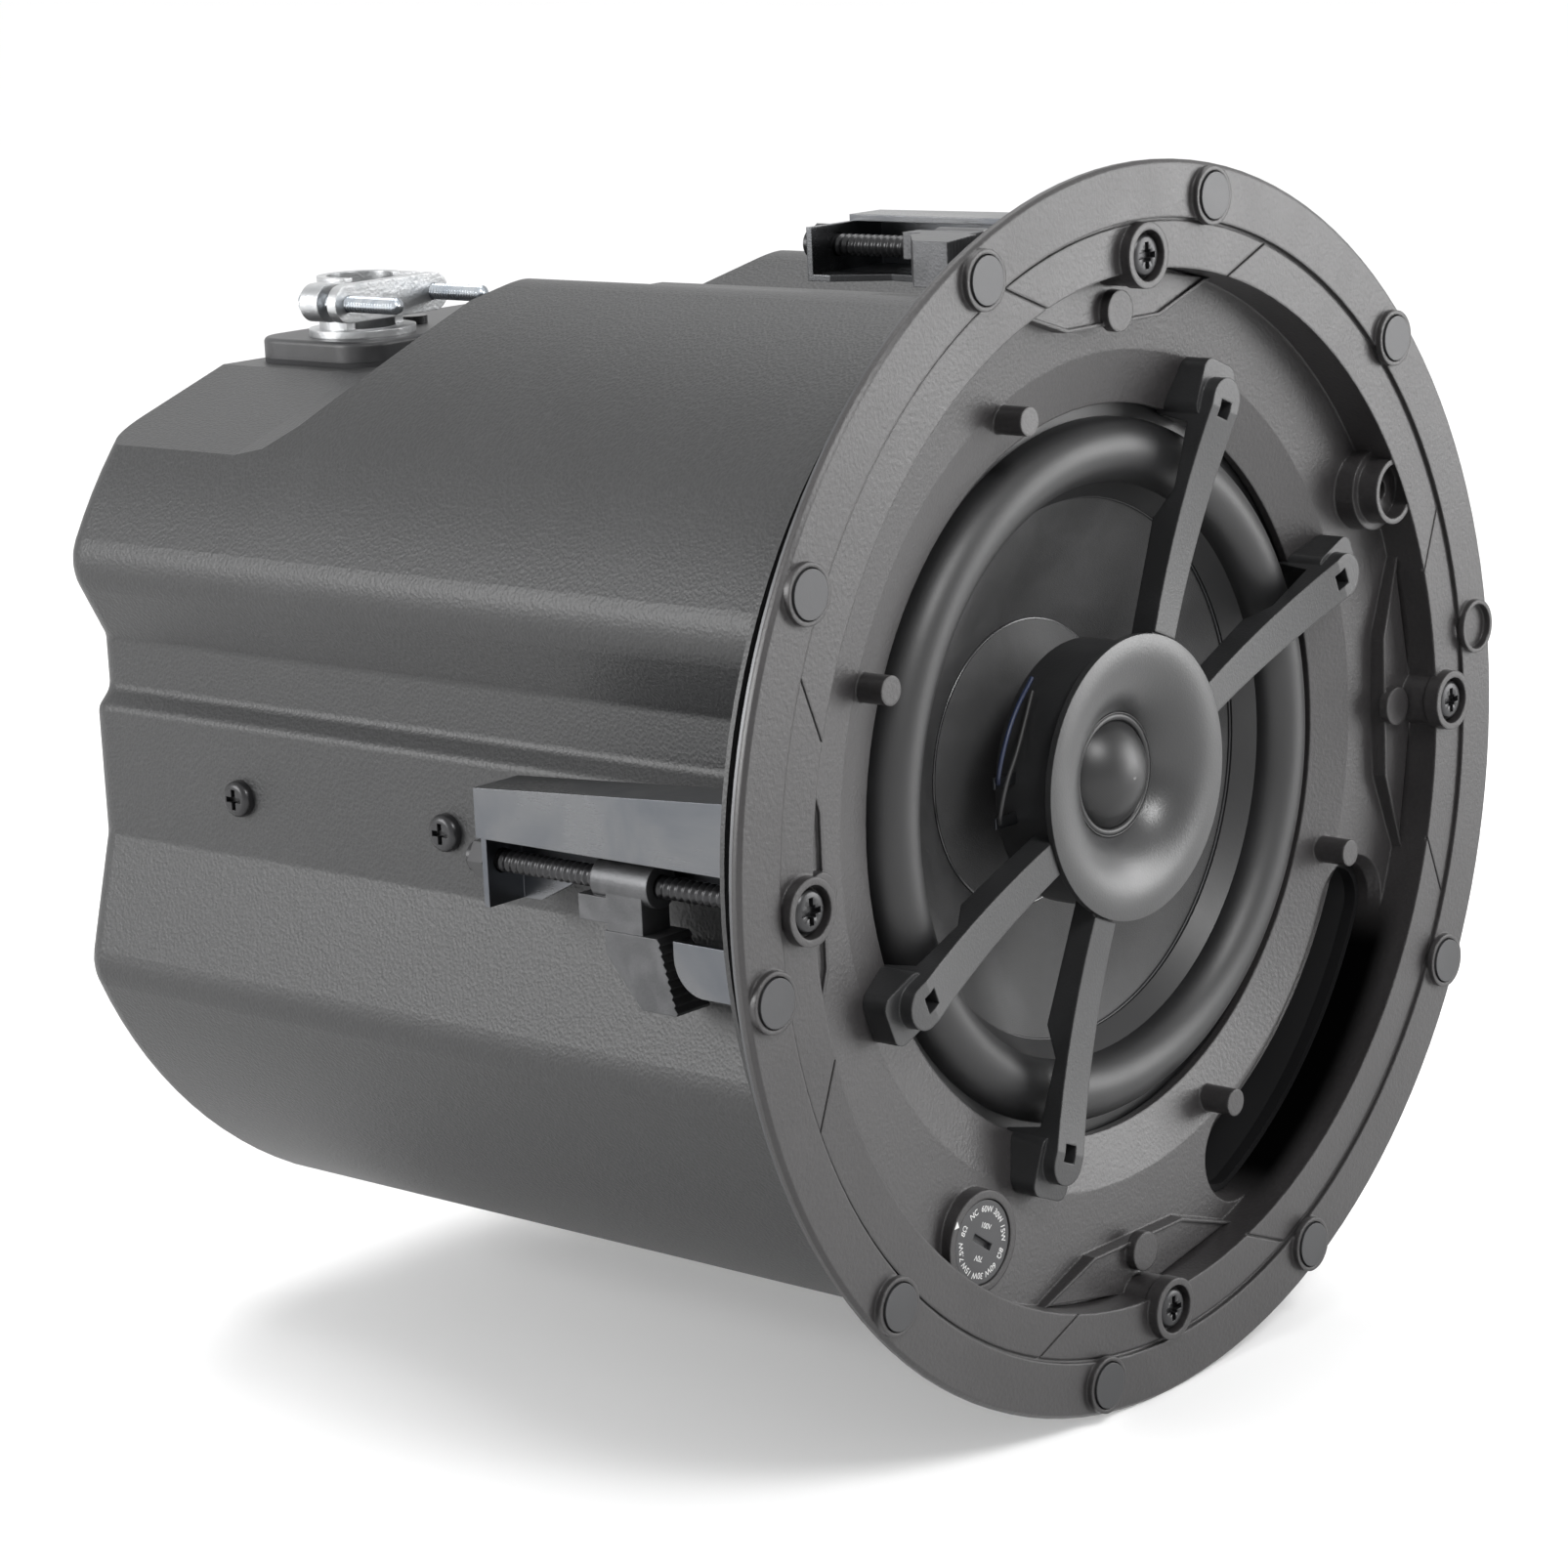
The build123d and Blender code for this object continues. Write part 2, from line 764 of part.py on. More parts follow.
with BuildPart() as mounting_ring:
    with BuildSketch(Plane.XY):
        with BuildLine():
            Polyline(
                (collar_radius - collar_wall, -ring_thickness),
                (ring_outer_radius, -ring_thickness),
                (ring_outer_radius, 0),
                (collar_radius, 0),
                (collar_radius, collar_length),
                (collar_radius - collar_wall, collar_length),
                close=True,
            )
        make_face()
    revolve(axis=Axis.Y)
export(mounting_ring.part, "mounting_ring")

with BuildPart() as rim_gasket:
    with BuildSketch(front_plane(-ring_thickness)):
        Circle(rim_gasket_outer)
        Circle(rim_gasket_inner, mode=Mode.SUBTRACT)
    extrude(amount=rim_gasket_thickness)
export(rim_gasket.part, "rim_gasket")

with BuildPart() as can_gasket:
    with BuildSketch(front_plane(can_front)):
        Circle(can_gasket_outer)
        Circle(can_gasket_inner, mode=Mode.SUBTRACT)
        with Locations(*[polar(clamp_circle, angle) for angle in clamp_angles]):
            Circle(screw_hole_radius, mode=Mode.SUBTRACT)
    extrude(amount=can_gasket_thickness)
export(can_gasket.part, "can_gasket")

with BuildPart() as grille_magnets:
    with BuildSketch(front_plane(rim_front + magnet_seat)):
        filled = [angle for step, angle in enumerate(magnet_angles) if step != open_boss_index]
        with Locations(*[polar(magnet_circle, angle) for angle in filled]):
            Circle(magnet_radius)
    extrude(amount=magnet_thickness)
export(grille_magnets.part, "grille_magnets")


# Back can: ribbed section, soft rear edge and a sloping recess at the rear top


def can_section(y, inset):
    """Section of the can: flats and grooves at the clamps, round lobes between."""
    web_ridge = polar(can_radius, -ridge_web_side)
    dog_ridge = polar(can_radius, ridge_dog_side)
    lobe = 360 / clamp_count - ridge_dog_side - ridge_web_side
    with BuildSketch(front_plane(y), mode=Mode.PRIVATE) as section:
        with BuildLine():
            for angle in clamp_angles:
                corners = [
                    web_ridge,
                    (groove_distance, -groove_far),
                    (groove_distance, -groove_near),
                    (flat_distance, -flat_half_web_side),
                    (flat_distance, flat_half_dog_side),
                    dog_ridge,
                ]
                Polyline(*[Vector(*corner).rotate(Axis.Z, angle) for corner in corners])
                CenterArc((0, 0), can_radius, angle + ridge_dog_side, lobe)
        make_face()
        ridges = section.vertices().filter_by(lambda v: hypot(v.X, v.Y) > can_radius - 1)
        fillet(ridges, radius=ridge_round)
        steps = section.vertices().filter_by(
            lambda v: hypot(v.X, v.Y) < hypot(groove_distance, groove_far) + 0.5
        )
        fillet(steps, radius=step_round)
        if inset:
            offset(amount=-inset)
    return section.sketch


def can_volume(inset):
    """The can's body as a solid, drawn in from its outside by an inset."""
    foot = recess_floor - inset
    reach = can_radius + can_rear_round
    edge = foot - (reach - recess_half_flat) * tan(radians(recess_side_slope))
    with BuildPart(mode=Mode.PRIVATE) as recess:
        with BuildSketch(front_plane(recess_slope_foot)):
            with BuildLine():
                Polyline(
                    (-reach, edge),
                    (-recess_half_flat, foot),
                    (recess_half_flat, foot),
                    (reach, edge),
                    (reach, 2 * reach),
                    (-reach, 2 * reach),
                    close=True,
                )
            make_face()
        extrude(amount=recess_slope_foot - can_rear - can_rear_round)
        for run, rise in recess_slopes:
            front_face = recess.faces().sort_by(Axis.Y)[0]
            extrude(front_face, amount=hypot(run, rise), dir=(0, -run, rise))
    with BuildPart(mode=Mode.PRIVATE) as body:
        extrude(can_section(can_front, inset), amount=can_front - can_rear + inset)
        rear_edges = body.faces().sort_by(Axis.Y)[-1].edges()
        fillet(rear_edges, radius=can_rear_round - inset)
        add(recess.part, mode=Mode.SUBTRACT)
    return body.part


with BuildPart() as back_can:
    add(can_volume(0))
    with BuildSketch(front_plane(bracket_front)):
        Circle(can_flange_radius)
    extrude(amount=can_wall)
    add(can_volume(can_wall), mode=Mode.SUBTRACT)
    with BuildSketch(front_plane(bracket_front)):
        with Locations(*[polar(clamp_circle, angle) for angle in clamp_angles]):
            Circle(screw_hole_radius)
    extrude(amount=can_wall, mode=Mode.SUBTRACT)
    with BuildSketch(Plane.YZ.offset(-flat_distance)):
        with Locations((transformer_first, 0), (transformer_first + transformer_pitch, 0)):
            Circle(pan_screw_hole)
    extrude(amount=can_wall, mode=Mode.SUBTRACT)
    with BuildSketch(Plane.XY.offset(recess_floor - can_wall)):
        with Locations((cable_x, cable_y)):
            Circle(throat_radius)
        with Locations((block_x, cover_y)):
            Rectangle(2 * block_half_length, 2 * block_half_width)
        with Locations(*[(x, cover_y) for x in cover_screw_xs]):
            Circle(cover_screw_radius)
    extrude(amount=can_wall, mode=Mode.SUBTRACT)
export(back_can.part, "back_can")


# Clamps: channel bracket, long screw, swinging dog and stop nut


def placed(part, angle):
    """A clamp piece modelled at +X, turned to its place round the axis."""
    return Rot(0, -angle, 0) * part


with BuildPart() as bracket:
    web_plane = Plane.YZ.offset(bracket_outer - bracket_sheet)
    with BuildSketch(web_plane):
        with BuildLine():
            Polyline(
                (bracket_front, web_far_front),
                (bracket_rear, web_far_rear),
                (bracket_rear, web_near),
                (bracket_front, web_near),
                close=True,
            )
        make_face()
        with BuildLine():
            tab_rear = bracket_front + tab_length
            Line((bracket_front, tab_near), (tab_rear, tab_near))
            Line((tab_rear, tab_near), (tab_rear, tab_far - tab_round))
            RadiusArc(
                (tab_rear, tab_far - tab_round),
                (tab_rear - tab_round, tab_far),
                -tab_round,
            )
            Line((tab_rear - tab_round, tab_far), (bracket_front, tab_far))
            Line((bracket_front, tab_far), (bracket_front, tab_near))
        make_face()
    extrude(amount=bracket_sheet)
    with BuildSketch(Plane.YZ.offset(bracket_inner)):
        with BuildLine():
            Polyline(
                (bracket_front, web_far_front),
                (bracket_rear, web_far_rear),
                (bracket_rear, lug_near),
                (lug_front_edge, lug_near),
                (neck_depth, neck_edge),
                (plate_depth, plate_edge_near),
                (bracket_front, plate_edge_near),
                close=True,
            )
        make_face()
    extrude(amount=bracket_sheet)
    with BuildSketch(Plane.YZ.offset(bracket_inner)):
        with BuildLine():
            Polyline(
                (bracket_front, web_far_front),
                (bracket_rear, web_far_rear),
                (bracket_rear, web_far_rear + bracket_sheet),
                (bracket_front, web_far_front + bracket_sheet),
                close=True,
            )
        make_face()
    extrude(amount=bracket_outer - bracket_inner)
    lug_outer = bracket_outer - bracket_sheet
    with BuildSketch(front_plane(bracket_rear)):
        with Locations(((bracket_inner + lug_outer) / 2, (web_far_rear + lug_near) / 2)):
            Rectangle(lug_outer - bracket_inner, lug_near - web_far_rear)
        with Locations((clamp_circle, 0)):
            Circle(lug_hole_radius, mode=Mode.SUBTRACT)
    extrude(amount=bracket_sheet)
    with BuildSketch(front_plane(bracket_front + bracket_sheet)):
        with Locations(((bracket_inner + bracket_outer) / 2, (web_far_front + tab_far) / 2)):
            Rectangle(bracket_outer - bracket_inner, tab_far - web_far_front)
        with Locations((clamp_circle, 0)):
            Circle(screw_hole_radius, mode=Mode.SUBTRACT)
    extrude(amount=bracket_sheet)

with BuildPart() as screw:
    with BuildSketch(front_plane(screw_head_seat)):
        with Locations((clamp_circle, 0)):
            Circle(screw_head_radius)
    extrude(amount=screw_head_height)
    fillet(screw.edges().sort_by(Axis.Y)[0], radius=screw_head_round)
    with BuildSketch(front_plane(screw_tail)):
        with Locations((clamp_circle, 0)):
            Circle(screw_radius)
    extrude(amount=screw_tail - screw_head_seat)
    with BuildSketch(front_plane(screw_head_front + screw_recess_depth)):
        with Locations((clamp_circle, 0)):
            Rectangle(screw_recess_length, screw_recess_width)
            Rectangle(screw_recess_width, screw_recess_length)
    extrude(amount=screw_recess_depth, mode=Mode.SUBTRACT)

with BuildPart() as dog:
    with BuildSketch(front_plane(dog_rear)):
        with Locations((clamp_circle, 0)):
            Circle(dog_boss_radius)
    extrude(amount=dog_rear - dog_front)
    with BuildSketch(Plane.YZ.offset(dog_arm_inner)):
        with Locations(((dog_arm_front + dog_arm_rear) / 2, dog_blade_near / 2 + 0.25)):
            Rectangle(dog_arm_rear - dog_arm_front, dog_blade_near + 0.5)
    extrude(amount=dog_arm_outer - dog_arm_inner)
    with BuildSketch(Plane.YZ.offset(dog_blade_inner)):
        with BuildLine():
            teeth = []
            for step in range(tooth_count):
                along = step / tooth_count
                depth = dog_blade_front + (dog_tip_front - dog_blade_front) * along
                reach = dog_blade_near + (dog_reach - dog_blade_near) * along
                teeth.append((depth + tooth_depth, reach))
                half = (dog_reach - dog_blade_near) / tooth_count * 0.6
                teeth.append((depth, reach + half))
            Polyline(
                *teeth,
                (dog_tip_front + tooth_depth, dog_reach),
                (dog_tip_rear, dog_reach),
                (dog_blade_rear, dog_blade_corner),
                (dog_blade_rear, dog_blade_near),
                close=True,
            )
        make_face()
    extrude(amount=dog_blade_outer - dog_blade_inner)
    with BuildSketch(Plane.YZ.offset(dog_finger_inner)):
        finger_y = (dog_arm_rear + dog_finger_rear) / 2
        finger_t = (dog_finger_near + dog_finger_far) / 2
        with Locations((finger_y, finger_t)):
            Rectangle(dog_finger_rear - dog_arm_rear, dog_finger_far - dog_finger_near)
    extrude(amount=dog_arm_outer - dog_finger_inner)
    with BuildSketch(front_plane(dog_finger_rear)):
        with Locations((clamp_circle, 0)):
            Circle(screw_radius + dog_bore_clearance)
    extrude(amount=dog_finger_rear - dog_tip_front, mode=Mode.SUBTRACT)

with BuildPart() as nut:
    with BuildSketch(front_plane(nut_front + nut_thickness)):
        with Locations((clamp_circle, 0)):
            RegularPolygon(nut_flats / 2, 6, major_radius=False)
    extrude(amount=nut_thickness)
    with BuildSketch(front_plane(nut_front + nut_thickness + nut_dome)):
        with Locations((clamp_circle, 0)):
            Circle(nut_flats / 2 - 0.6)
    extrude(amount=nut_dome)
    with BuildSketch(front_plane(nut_front + nut_thickness + nut_dome)):
        with Locations((clamp_circle, 0)):
            Circle(screw_radius)
    extrude(amount=nut_thickness + nut_dome, mode=Mode.SUBTRACT)

for number, angle in enumerate(clamp_angles, start=1):
    export(placed(bracket.part, angle), f"clamp_bracket_{number}")
    export(placed(screw.part, angle), f"clamp_screw_{number}")
    export(placed(dog.part, angle), f"clamp_dog_{number}")
    export(placed(nut.part, angle), f"clamp_nut_{number}")


# Tap selector: slotted dial on a shaft and the switch behind it

with BuildPart() as selector_dial:
    with BuildSketch(front_plane(dial_front + dial_thickness)):
        with Locations((selector_x, selector_z)):
            Circle(dial_radius)
    extrude(amount=dial_thickness)
    with BuildSketch(front_plane(shaft_rear)):
        with Locations((selector_x, selector_z)):
            Circle(dial_shaft_radius)
    extrude(amount=shaft_rear - dial_front - dial_thickness)
    with BuildSketch(front_plane(dial_front + dial_slot_depth)):
        with Locations((selector_x, selector_z)):
            Rectangle(dial_slot_length, dial_slot_width, rotation=dial_pointer_angle)
    extrude(amount=dial_slot_depth, mode=Mode.SUBTRACT)
export(selector_dial.part, "selector_dial")

with BuildPart() as selector_switch:
    with BuildSketch(front_plane(switch_rear)):
        with Locations((selector_x, selector_z)):
            Circle(switch_radius)
    extrude(amount=switch_rear - lip_rear)
    with BuildSketch(front_plane(switch_hole_rear)):
        with Locations((selector_x, selector_z)):
            Circle(dial_shaft_radius + shaft_clearance)
    extrude(amount=switch_hole_rear - lip_rear, mode=Mode.SUBTRACT)
export(selector_switch.part, "selector_switch")


# Woofer

with BuildPart() as woofer_basket:
    add(
        turned(
            (basket_flange_radius, lip_rear),
            (basket_step_radius, lip_rear),
            (basket_step_radius, basket_step_depth),
            (basket_seat_radius, basket_step_depth),
            (basket_wall_radius, basket_wall_depth),
            (basket_waist_radius, basket_waist_depth),
            (basket_bore, basket_waist_depth),
            (basket_bore, motor_front),
            (basket_waist_radius + basket_waist_skin, motor_front),
            (basket_wall_radius + basket_wall_skin, basket_wall_depth),
            (basket_seat_radius + basket_sheet, basket_step_depth + basket_sheet),
            (basket_step_radius + basket_sheet, basket_step_depth + basket_sheet),
            (basket_step_radius + basket_sheet, lip_rear + basket_sheet),
            (basket_flange_radius, lip_rear + basket_sheet),
        )
    )
    for step in range(window_count):
        middle = 360 / window_count * step
        with BuildSketch(front_plane(window_rear)):
            with BuildLine():
                Polyline(
                    driver_polar(basket_waist_radius, middle - window_half_angle),
                    driver_polar(basket_waist_radius, middle + window_half_angle),
                    driver_polar(basket_flange_radius, middle + window_half_angle),
                    driver_polar(basket_flange_radius, middle - window_half_angle),
                    close=True,
                )
            make_face()
        extrude(amount=window_rear - window_front, mode=Mode.SUBTRACT)
    with BuildSketch(front_plane(lip_rear + basket_sheet)):
        with Locations((driver_x, driver_z)):
            with PolarLocations(woofer_screw_circle, woofer_screw_count):
                Circle(woofer_screw_radius)
    extrude(amount=basket_sheet, mode=Mode.SUBTRACT)
export(woofer_basket.part, "woofer_basket")

with BuildPart() as woofer_screws:
    screw_seat = lip_rear + basket_sheet
    with BuildSketch(front_plane(screw_seat + woofer_screw_head_height)):
        with Locations((driver_x, driver_z)):
            with PolarLocations(woofer_screw_circle, woofer_screw_count):
                Circle(woofer_screw_head)
    extrude(amount=woofer_screw_head_height)
    with BuildSketch(front_plane(screw_seat)):
        with Locations((driver_x, driver_z)):
            with PolarLocations(woofer_screw_circle, woofer_screw_count):
                Circle(woofer_screw_radius)
    extrude(amount=basket_sheet + woofer_screw_bite)
export(woofer_screws.part, "woofer_screws")

with BuildPart() as woofer_surround:
    outer_roll = surround_roll_radius + surround_thickness / 2
    inner_roll = surround_roll_radius - surround_thickness / 2
    with BuildSketch(driver_plane):
        with BuildLine():
            roll_centre = (surround_roll_centre, surround_lip_front)
            foot_radius = cone_edge_radius - cone_glue_margin
            Polyline(
                (surround_roll_centre - outer_roll, surround_lip_front),
                (surround_foot_radius, surround_foot_depth),
                (surround_foot_radius, cone_depth(surround_foot_radius)),
                (foot_radius, cone_depth(foot_radius)),
                (surround_roll_centre - inner_roll, surround_lip_front),
            )
            CenterArc(roll_centre, outer_roll, 180, 180)
            CenterArc(roll_centre, inner_roll, 180, 180)
            Polyline(
                (surround_roll_centre + inner_roll, surround_lip_front),
                (surround_roll_centre + inner_roll, basket_step_depth),
                (surround_lip_radius, basket_step_depth),
                (surround_lip_radius, surround_lip_front),
                (surround_roll_centre + outer_roll, surround_lip_front),
            )
        make_face()
    revolve(axis=driver_axis)
export(woofer_surround.part, "woofer_surround")

former_outer = former_radius + former_thickness
woofer_cone = turned(
    (cone_edge_radius, cone_edge_depth),
    (former_outer, cone_depth(former_outer)),
    (former_outer, cone_depth(former_outer) + cone_thickness),
    (cone_edge_radius, cone_edge_depth + cone_thickness),
)
export(woofer_cone, "woofer_cone")

with BuildPart() as woofer_dust_cap:
    cap_rim = cone_depth(cap_radius)
    cap_crown = cap_rim - cap_height
    with BuildSketch(driver_plane):
        with BuildLine():
            crown_arc(cap_crown, cap_height, cap_radius)
            Line((cap_radius, cap_rim), (cap_radius, cap_rim - cap_thickness))
            crown_arc(cap_crown - cap_thickness, cap_height, cap_radius)
            Line((0, cap_crown - cap_thickness), (0, cap_crown))
        make_face()
    revolve(axis=driver_axis)
export(woofer_dust_cap.part, "woofer_dust_cap")

woofer_voice_coil = turned(
    (former_radius, former_front),
    (former_outer, former_front),
    (former_outer, winding_front),
    (former_outer + winding_thickness, winding_front),
    (former_outer + winding_thickness, winding_rear),
    (former_outer, winding_rear),
    (former_outer, former_rear),
    (former_radius, former_rear),
)
export(woofer_voice_coil, "woofer_voice_coil")

wave_step = (spider_outer_radius - former_outer) / (2 * spider_waves + 1)
wave_front = []
for step in range(2 * spider_waves + 2):
    side = 0 if step in (0, 2 * spider_waves + 1) else (1 if step % 2 else -1)
    wave_front.append((former_outer + wave_step * step, spider_depth + side * spider_wave))
wave_rear = [(radius, depth + spider_thickness) for radius, depth in reversed(wave_front)]
woofer_spider = turned(*wave_front, *wave_rear)
export(woofer_spider, "woofer_spider")

woofer_top_plate = turned(
    (top_plate_bore, motor_front),
    (top_plate_radius, motor_front),
    (top_plate_radius, magnet_front),
    (top_plate_bore, magnet_front),
)
export(woofer_top_plate, "woofer_top_plate")

woofer_magnet = turned(
    (magnet_ring_bore, magnet_front),
    (magnet_ring_radius, magnet_front),
    (magnet_ring_radius, yoke_front),
    (magnet_ring_bore, yoke_front),
)
export(woofer_magnet, "woofer_magnet")

woofer_yoke = turned(
    (pole_bore, motor_front),
    (pole_radius, motor_front),
    (pole_radius, yoke_front),
    (top_plate_radius, yoke_front),
    (top_plate_radius, yoke_front + yoke_thickness),
    (pole_bore, yoke_front + yoke_thickness),
)
export(woofer_yoke, "woofer_yoke")


# Tweeter on its four-armed bridge


def tag_boxes():
    """The two solder tags, standing out of the hub towards -X."""
    with BuildPart(mode=Mode.PRIVATE) as tags:
        with BuildSketch(front_plane(tag_depth + tag_thickness)):
            middle = driver_x - (tag_inner_radius + tag_outer_radius) / 2
            spots = [(middle, driver_z + side * tag_spacing / 2) for side in (-1, 1)]
            with Locations(*spots):
                Rectangle(tag_outer_radius - tag_inner_radius, tag_width)
        extrude(amount=tag_thickness)
    return tags.part


with BuildPart() as arm:
    root = (hub_bore + hub_radius) / 2
    outside = plate_radius + plug_gap
    tip = arm_end_radius - arm_tip_half_width
    bow = ((outside + arm_front_knee) / 2, arm_front_middle)
    with BuildSketch(Plane.XY.offset(-foot_half_width)):
        with BuildLine():
            Polyline((root, hub_front), (outside, hub_front), (outside, arm_front_inner))
            ThreePointArc((outside, arm_front_inner), bow, (arm_front_knee, arm_front_outer))
            Polyline(
                (arm_front_knee, arm_front_outer),
                (foot_outer_radius, arm_front_outer),
                (foot_outer_radius, lip_rear),
                (foot_inner_radius, lip_rear),
                (arm_over_outer, arm_over_rear),
                (arm_over_inner, arm_over_rear),
                (arm_mid_radius, arm_mid_rear),
                (root, arm_root_rear),
                (root, hub_front),
            )
        make_face()
    extrude(amount=2 * foot_half_width)
    with BuildSketch(front_plane(lip_rear)):
        with BuildLine():
            Polyline(
                (root, -arm_root_half_width),
                (tip, -arm_tip_half_width),
                (tip, arm_tip_half_width),
                (root, arm_root_half_width),
                close=True,
            )
        make_face()
        with Locations((tip, 0)):
            Circle(arm_tip_half_width)
    extrude(amount=lip_rear - arm_front_outer, mode=Mode.INTERSECT)
    with BuildSketch(front_plane(lip_rear)):
        with Locations(((foot_inner_radius + foot_outer_radius) / 2, 0)):
            foot_length = foot_outer_radius - foot_inner_radius
            RectangleRounded(foot_length, 2 * foot_half_width, foot_corner)
    extrude(amount=lip_rear - foot_front)
    with BuildSketch(front_plane(arm_front_outer + hook_hole_depth)):
        with Locations((hook_hole_radius, 0)):
            Rectangle(hook_hole, hook_hole)
    extrude(amount=hook_hole_depth, mode=Mode.SUBTRACT)

with BuildPart() as tweeter_bridge:
    add(
        turned(
            (hub_bore, hub_front),
            (hub_radius, hub_front),
            (hub_radius, hub_rear),
            (0, hub_rear),
            (0, hub_rear - hub_floor),
            (hub_bore, hub_rear - hub_floor),
        )
    )
    for angle in arm_angles:
        add(Pos(driver_x, 0, driver_z) * Rot(0, -angle, 0) * arm.part)
    add(floor_backing, mode=Mode.SUBTRACT)
    add(tag_boxes(), mode=Mode.SUBTRACT)
export(tweeter_bridge.part, "tweeter_bridge")
export(tag_boxes(), "tweeter_terminals")

with BuildPart() as tweeter_waveguide:
    with BuildSketch(driver_plane):
        with BuildLine():
            ThreePointArc(
                (plate_radius, plate_front),
                (flare_radius, flare_depth),
                (throat_radius_front, throat_depth),
            )
            Polyline(
                (throat_radius_front, throat_depth),
                (throat_radius_front, tweeter_face),
                (plug_radius, tweeter_face),
                (plug_radius, hub_front),
                (plate_radius, hub_front),
                (plate_radius, plate_front),
            )
        make_face()
    revolve(axis=driver_axis)
export(tweeter_waveguide.part, "tweeter_waveguide")

with BuildPart() as tweeter_dome:
    with BuildSketch(driver_plane):
        with BuildLine():
            dome_base = tweeter_face - dome_thickness
            middle = (dome_seat_radius + dome_radius) / 2
            crown = dome_base - dome_height
            Line((0, crown), (0, crown + dome_thickness))
            crown_arc(crown + dome_thickness, dome_height, dome_radius)
            Line((dome_radius, tweeter_face), (dome_seat_radius, tweeter_face))
            Line((dome_seat_radius, tweeter_face), (dome_seat_radius, dome_base))
            ThreePointArc(
                (dome_seat_radius, dome_base),
                (middle, dome_base - dome_roll_height),
                (dome_radius, dome_base),
            )
            crown_arc(crown, dome_height, dome_radius)
        make_face()
    revolve(axis=driver_axis)
export(tweeter_dome.part, "tweeter_dome")

tweeter_coil = turned(
    (tweeter_coil_radius, tweeter_face),
    (tweeter_coil_radius + tweeter_coil_thickness, tweeter_face),
    (tweeter_coil_radius + tweeter_coil_thickness, tweeter_coil_rear),
    (tweeter_coil_radius, tweeter_coil_rear),
)
export(tweeter_coil, "tweeter_coil")

tweeter_plate = turned(
    (tweeter_gap_radius, tweeter_face),
    (tweeter_plate_radius, tweeter_face),
    (tweeter_plate_radius, tweeter_magnet_front),
    (tweeter_gap_radius, tweeter_magnet_front),
)
export(tweeter_plate, "tweeter_plate")

tweeter_magnet = turned(
    (tweeter_magnet_bore, tweeter_magnet_front),
    (tweeter_magnet_outer, tweeter_magnet_front),
    (tweeter_magnet_outer, tweeter_yoke_front),
    (tweeter_magnet_bore, tweeter_yoke_front),
)
export(tweeter_magnet, "tweeter_magnet")

tweeter_yoke = turned(
    (0, tweeter_face + tweeter_pole_drop),
    (tweeter_pole_radius, tweeter_face + tweeter_pole_drop),
    (tweeter_pole_radius, tweeter_yoke_front),
    (tweeter_magnet_outer, tweeter_yoke_front),
    (tweeter_magnet_outer, tweeter_yoke_front + tweeter_yoke_thickness),
    (0, tweeter_yoke_front + tweeter_yoke_thickness),
)
export(tweeter_yoke, "tweeter_yoke")


# Transformer on the left wall, held from outside by two pan-head screws

wall_x = can_wall - flat_distance
transformer_middle = transformer_first + transformer_pitch / 2
core_x = wall_x + transformer_foot_thickness
with BuildPart() as transformer_frame:
    with BuildSketch(Plane.YZ.offset(wall_x)):
        with Locations((transformer_middle, 0)):
            Rectangle(transformer_pitch + 2 * transformer_foot_margin, transformer_foot_width)
        with Locations((transformer_first, 0), (transformer_first + transformer_pitch, 0)):
            Circle(pan_screw_radius, mode=Mode.SUBTRACT)
    extrude(amount=transformer_foot_thickness)
export(transformer_frame.part, "transformer_frame")

with BuildPart() as transformer_core:
    with BuildSketch(Plane.YZ.offset(core_x)):
        with Locations((transformer_middle, 0)):
            Rectangle(transformer_length, transformer_width)
            for side in (-1, 1):
                with Locations((side * transformer_length / 4, 0)):
                    Rectangle(
                        transformer_length / 4,
                        transformer_coil_width,
                        mode=Mode.SUBTRACT,
                    )
    extrude(amount=transformer_height)
export(transformer_core.part, "transformer_core")

with BuildPart() as transformer_coil:
    with BuildSketch(Plane.YZ.offset(core_x)):
        with Locations((transformer_middle, 0)):
            Rectangle(transformer_length * 3 / 4, transformer_coil_width)
            Rectangle(transformer_length / 4, transformer_coil_width, mode=Mode.SUBTRACT)
    extrude(amount=transformer_height + transformer_coil_proud)
    with BuildSketch(Plane.YZ.offset(core_x + transformer_height)):
        with Locations((transformer_middle, 0)):
            Rectangle(transformer_length * 3 / 4, transformer_coil_width)
    extrude(amount=transformer_coil_proud)
export(transformer_coil.part, "transformer_coil")

with BuildPart() as side_screws:
    with BuildSketch(Plane.YZ.offset(-flat_distance)):
        with Locations((transformer_first, 0), (transformer_first + transformer_pitch, 0)):
            Circle(pan_head_radius)
    extrude(amount=-pan_head_height)
    heads = side_screws.edges().filter_by_position(
        Axis.X, -flat_distance - pan_head_height - 0.01, -flat_distance - pan_head_height + 0.01
    )
    fillet(heads, radius=pan_head_round)
    with BuildSketch(Plane.YZ.offset(-flat_distance)):
        with Locations((transformer_first, 0), (transformer_first + transformer_pitch, 0)):
            Circle(pan_screw_radius)
    extrude(amount=pan_screw_length)
    with BuildSketch(Plane.YZ.offset(-flat_distance - pan_head_height)):
        with Locations((transformer_first, 0), (transformer_first + transformer_pitch, 0)):
            Rectangle(screw_recess_length - 0.6, screw_recess_width)
            Rectangle(screw_recess_width, screw_recess_length - 0.6)
    extrude(amount=screw_recess_depth, mode=Mode.SUBTRACT)
export(side_screws.part, "side_screws")


# Crossover board on four posts at the bottom of the can

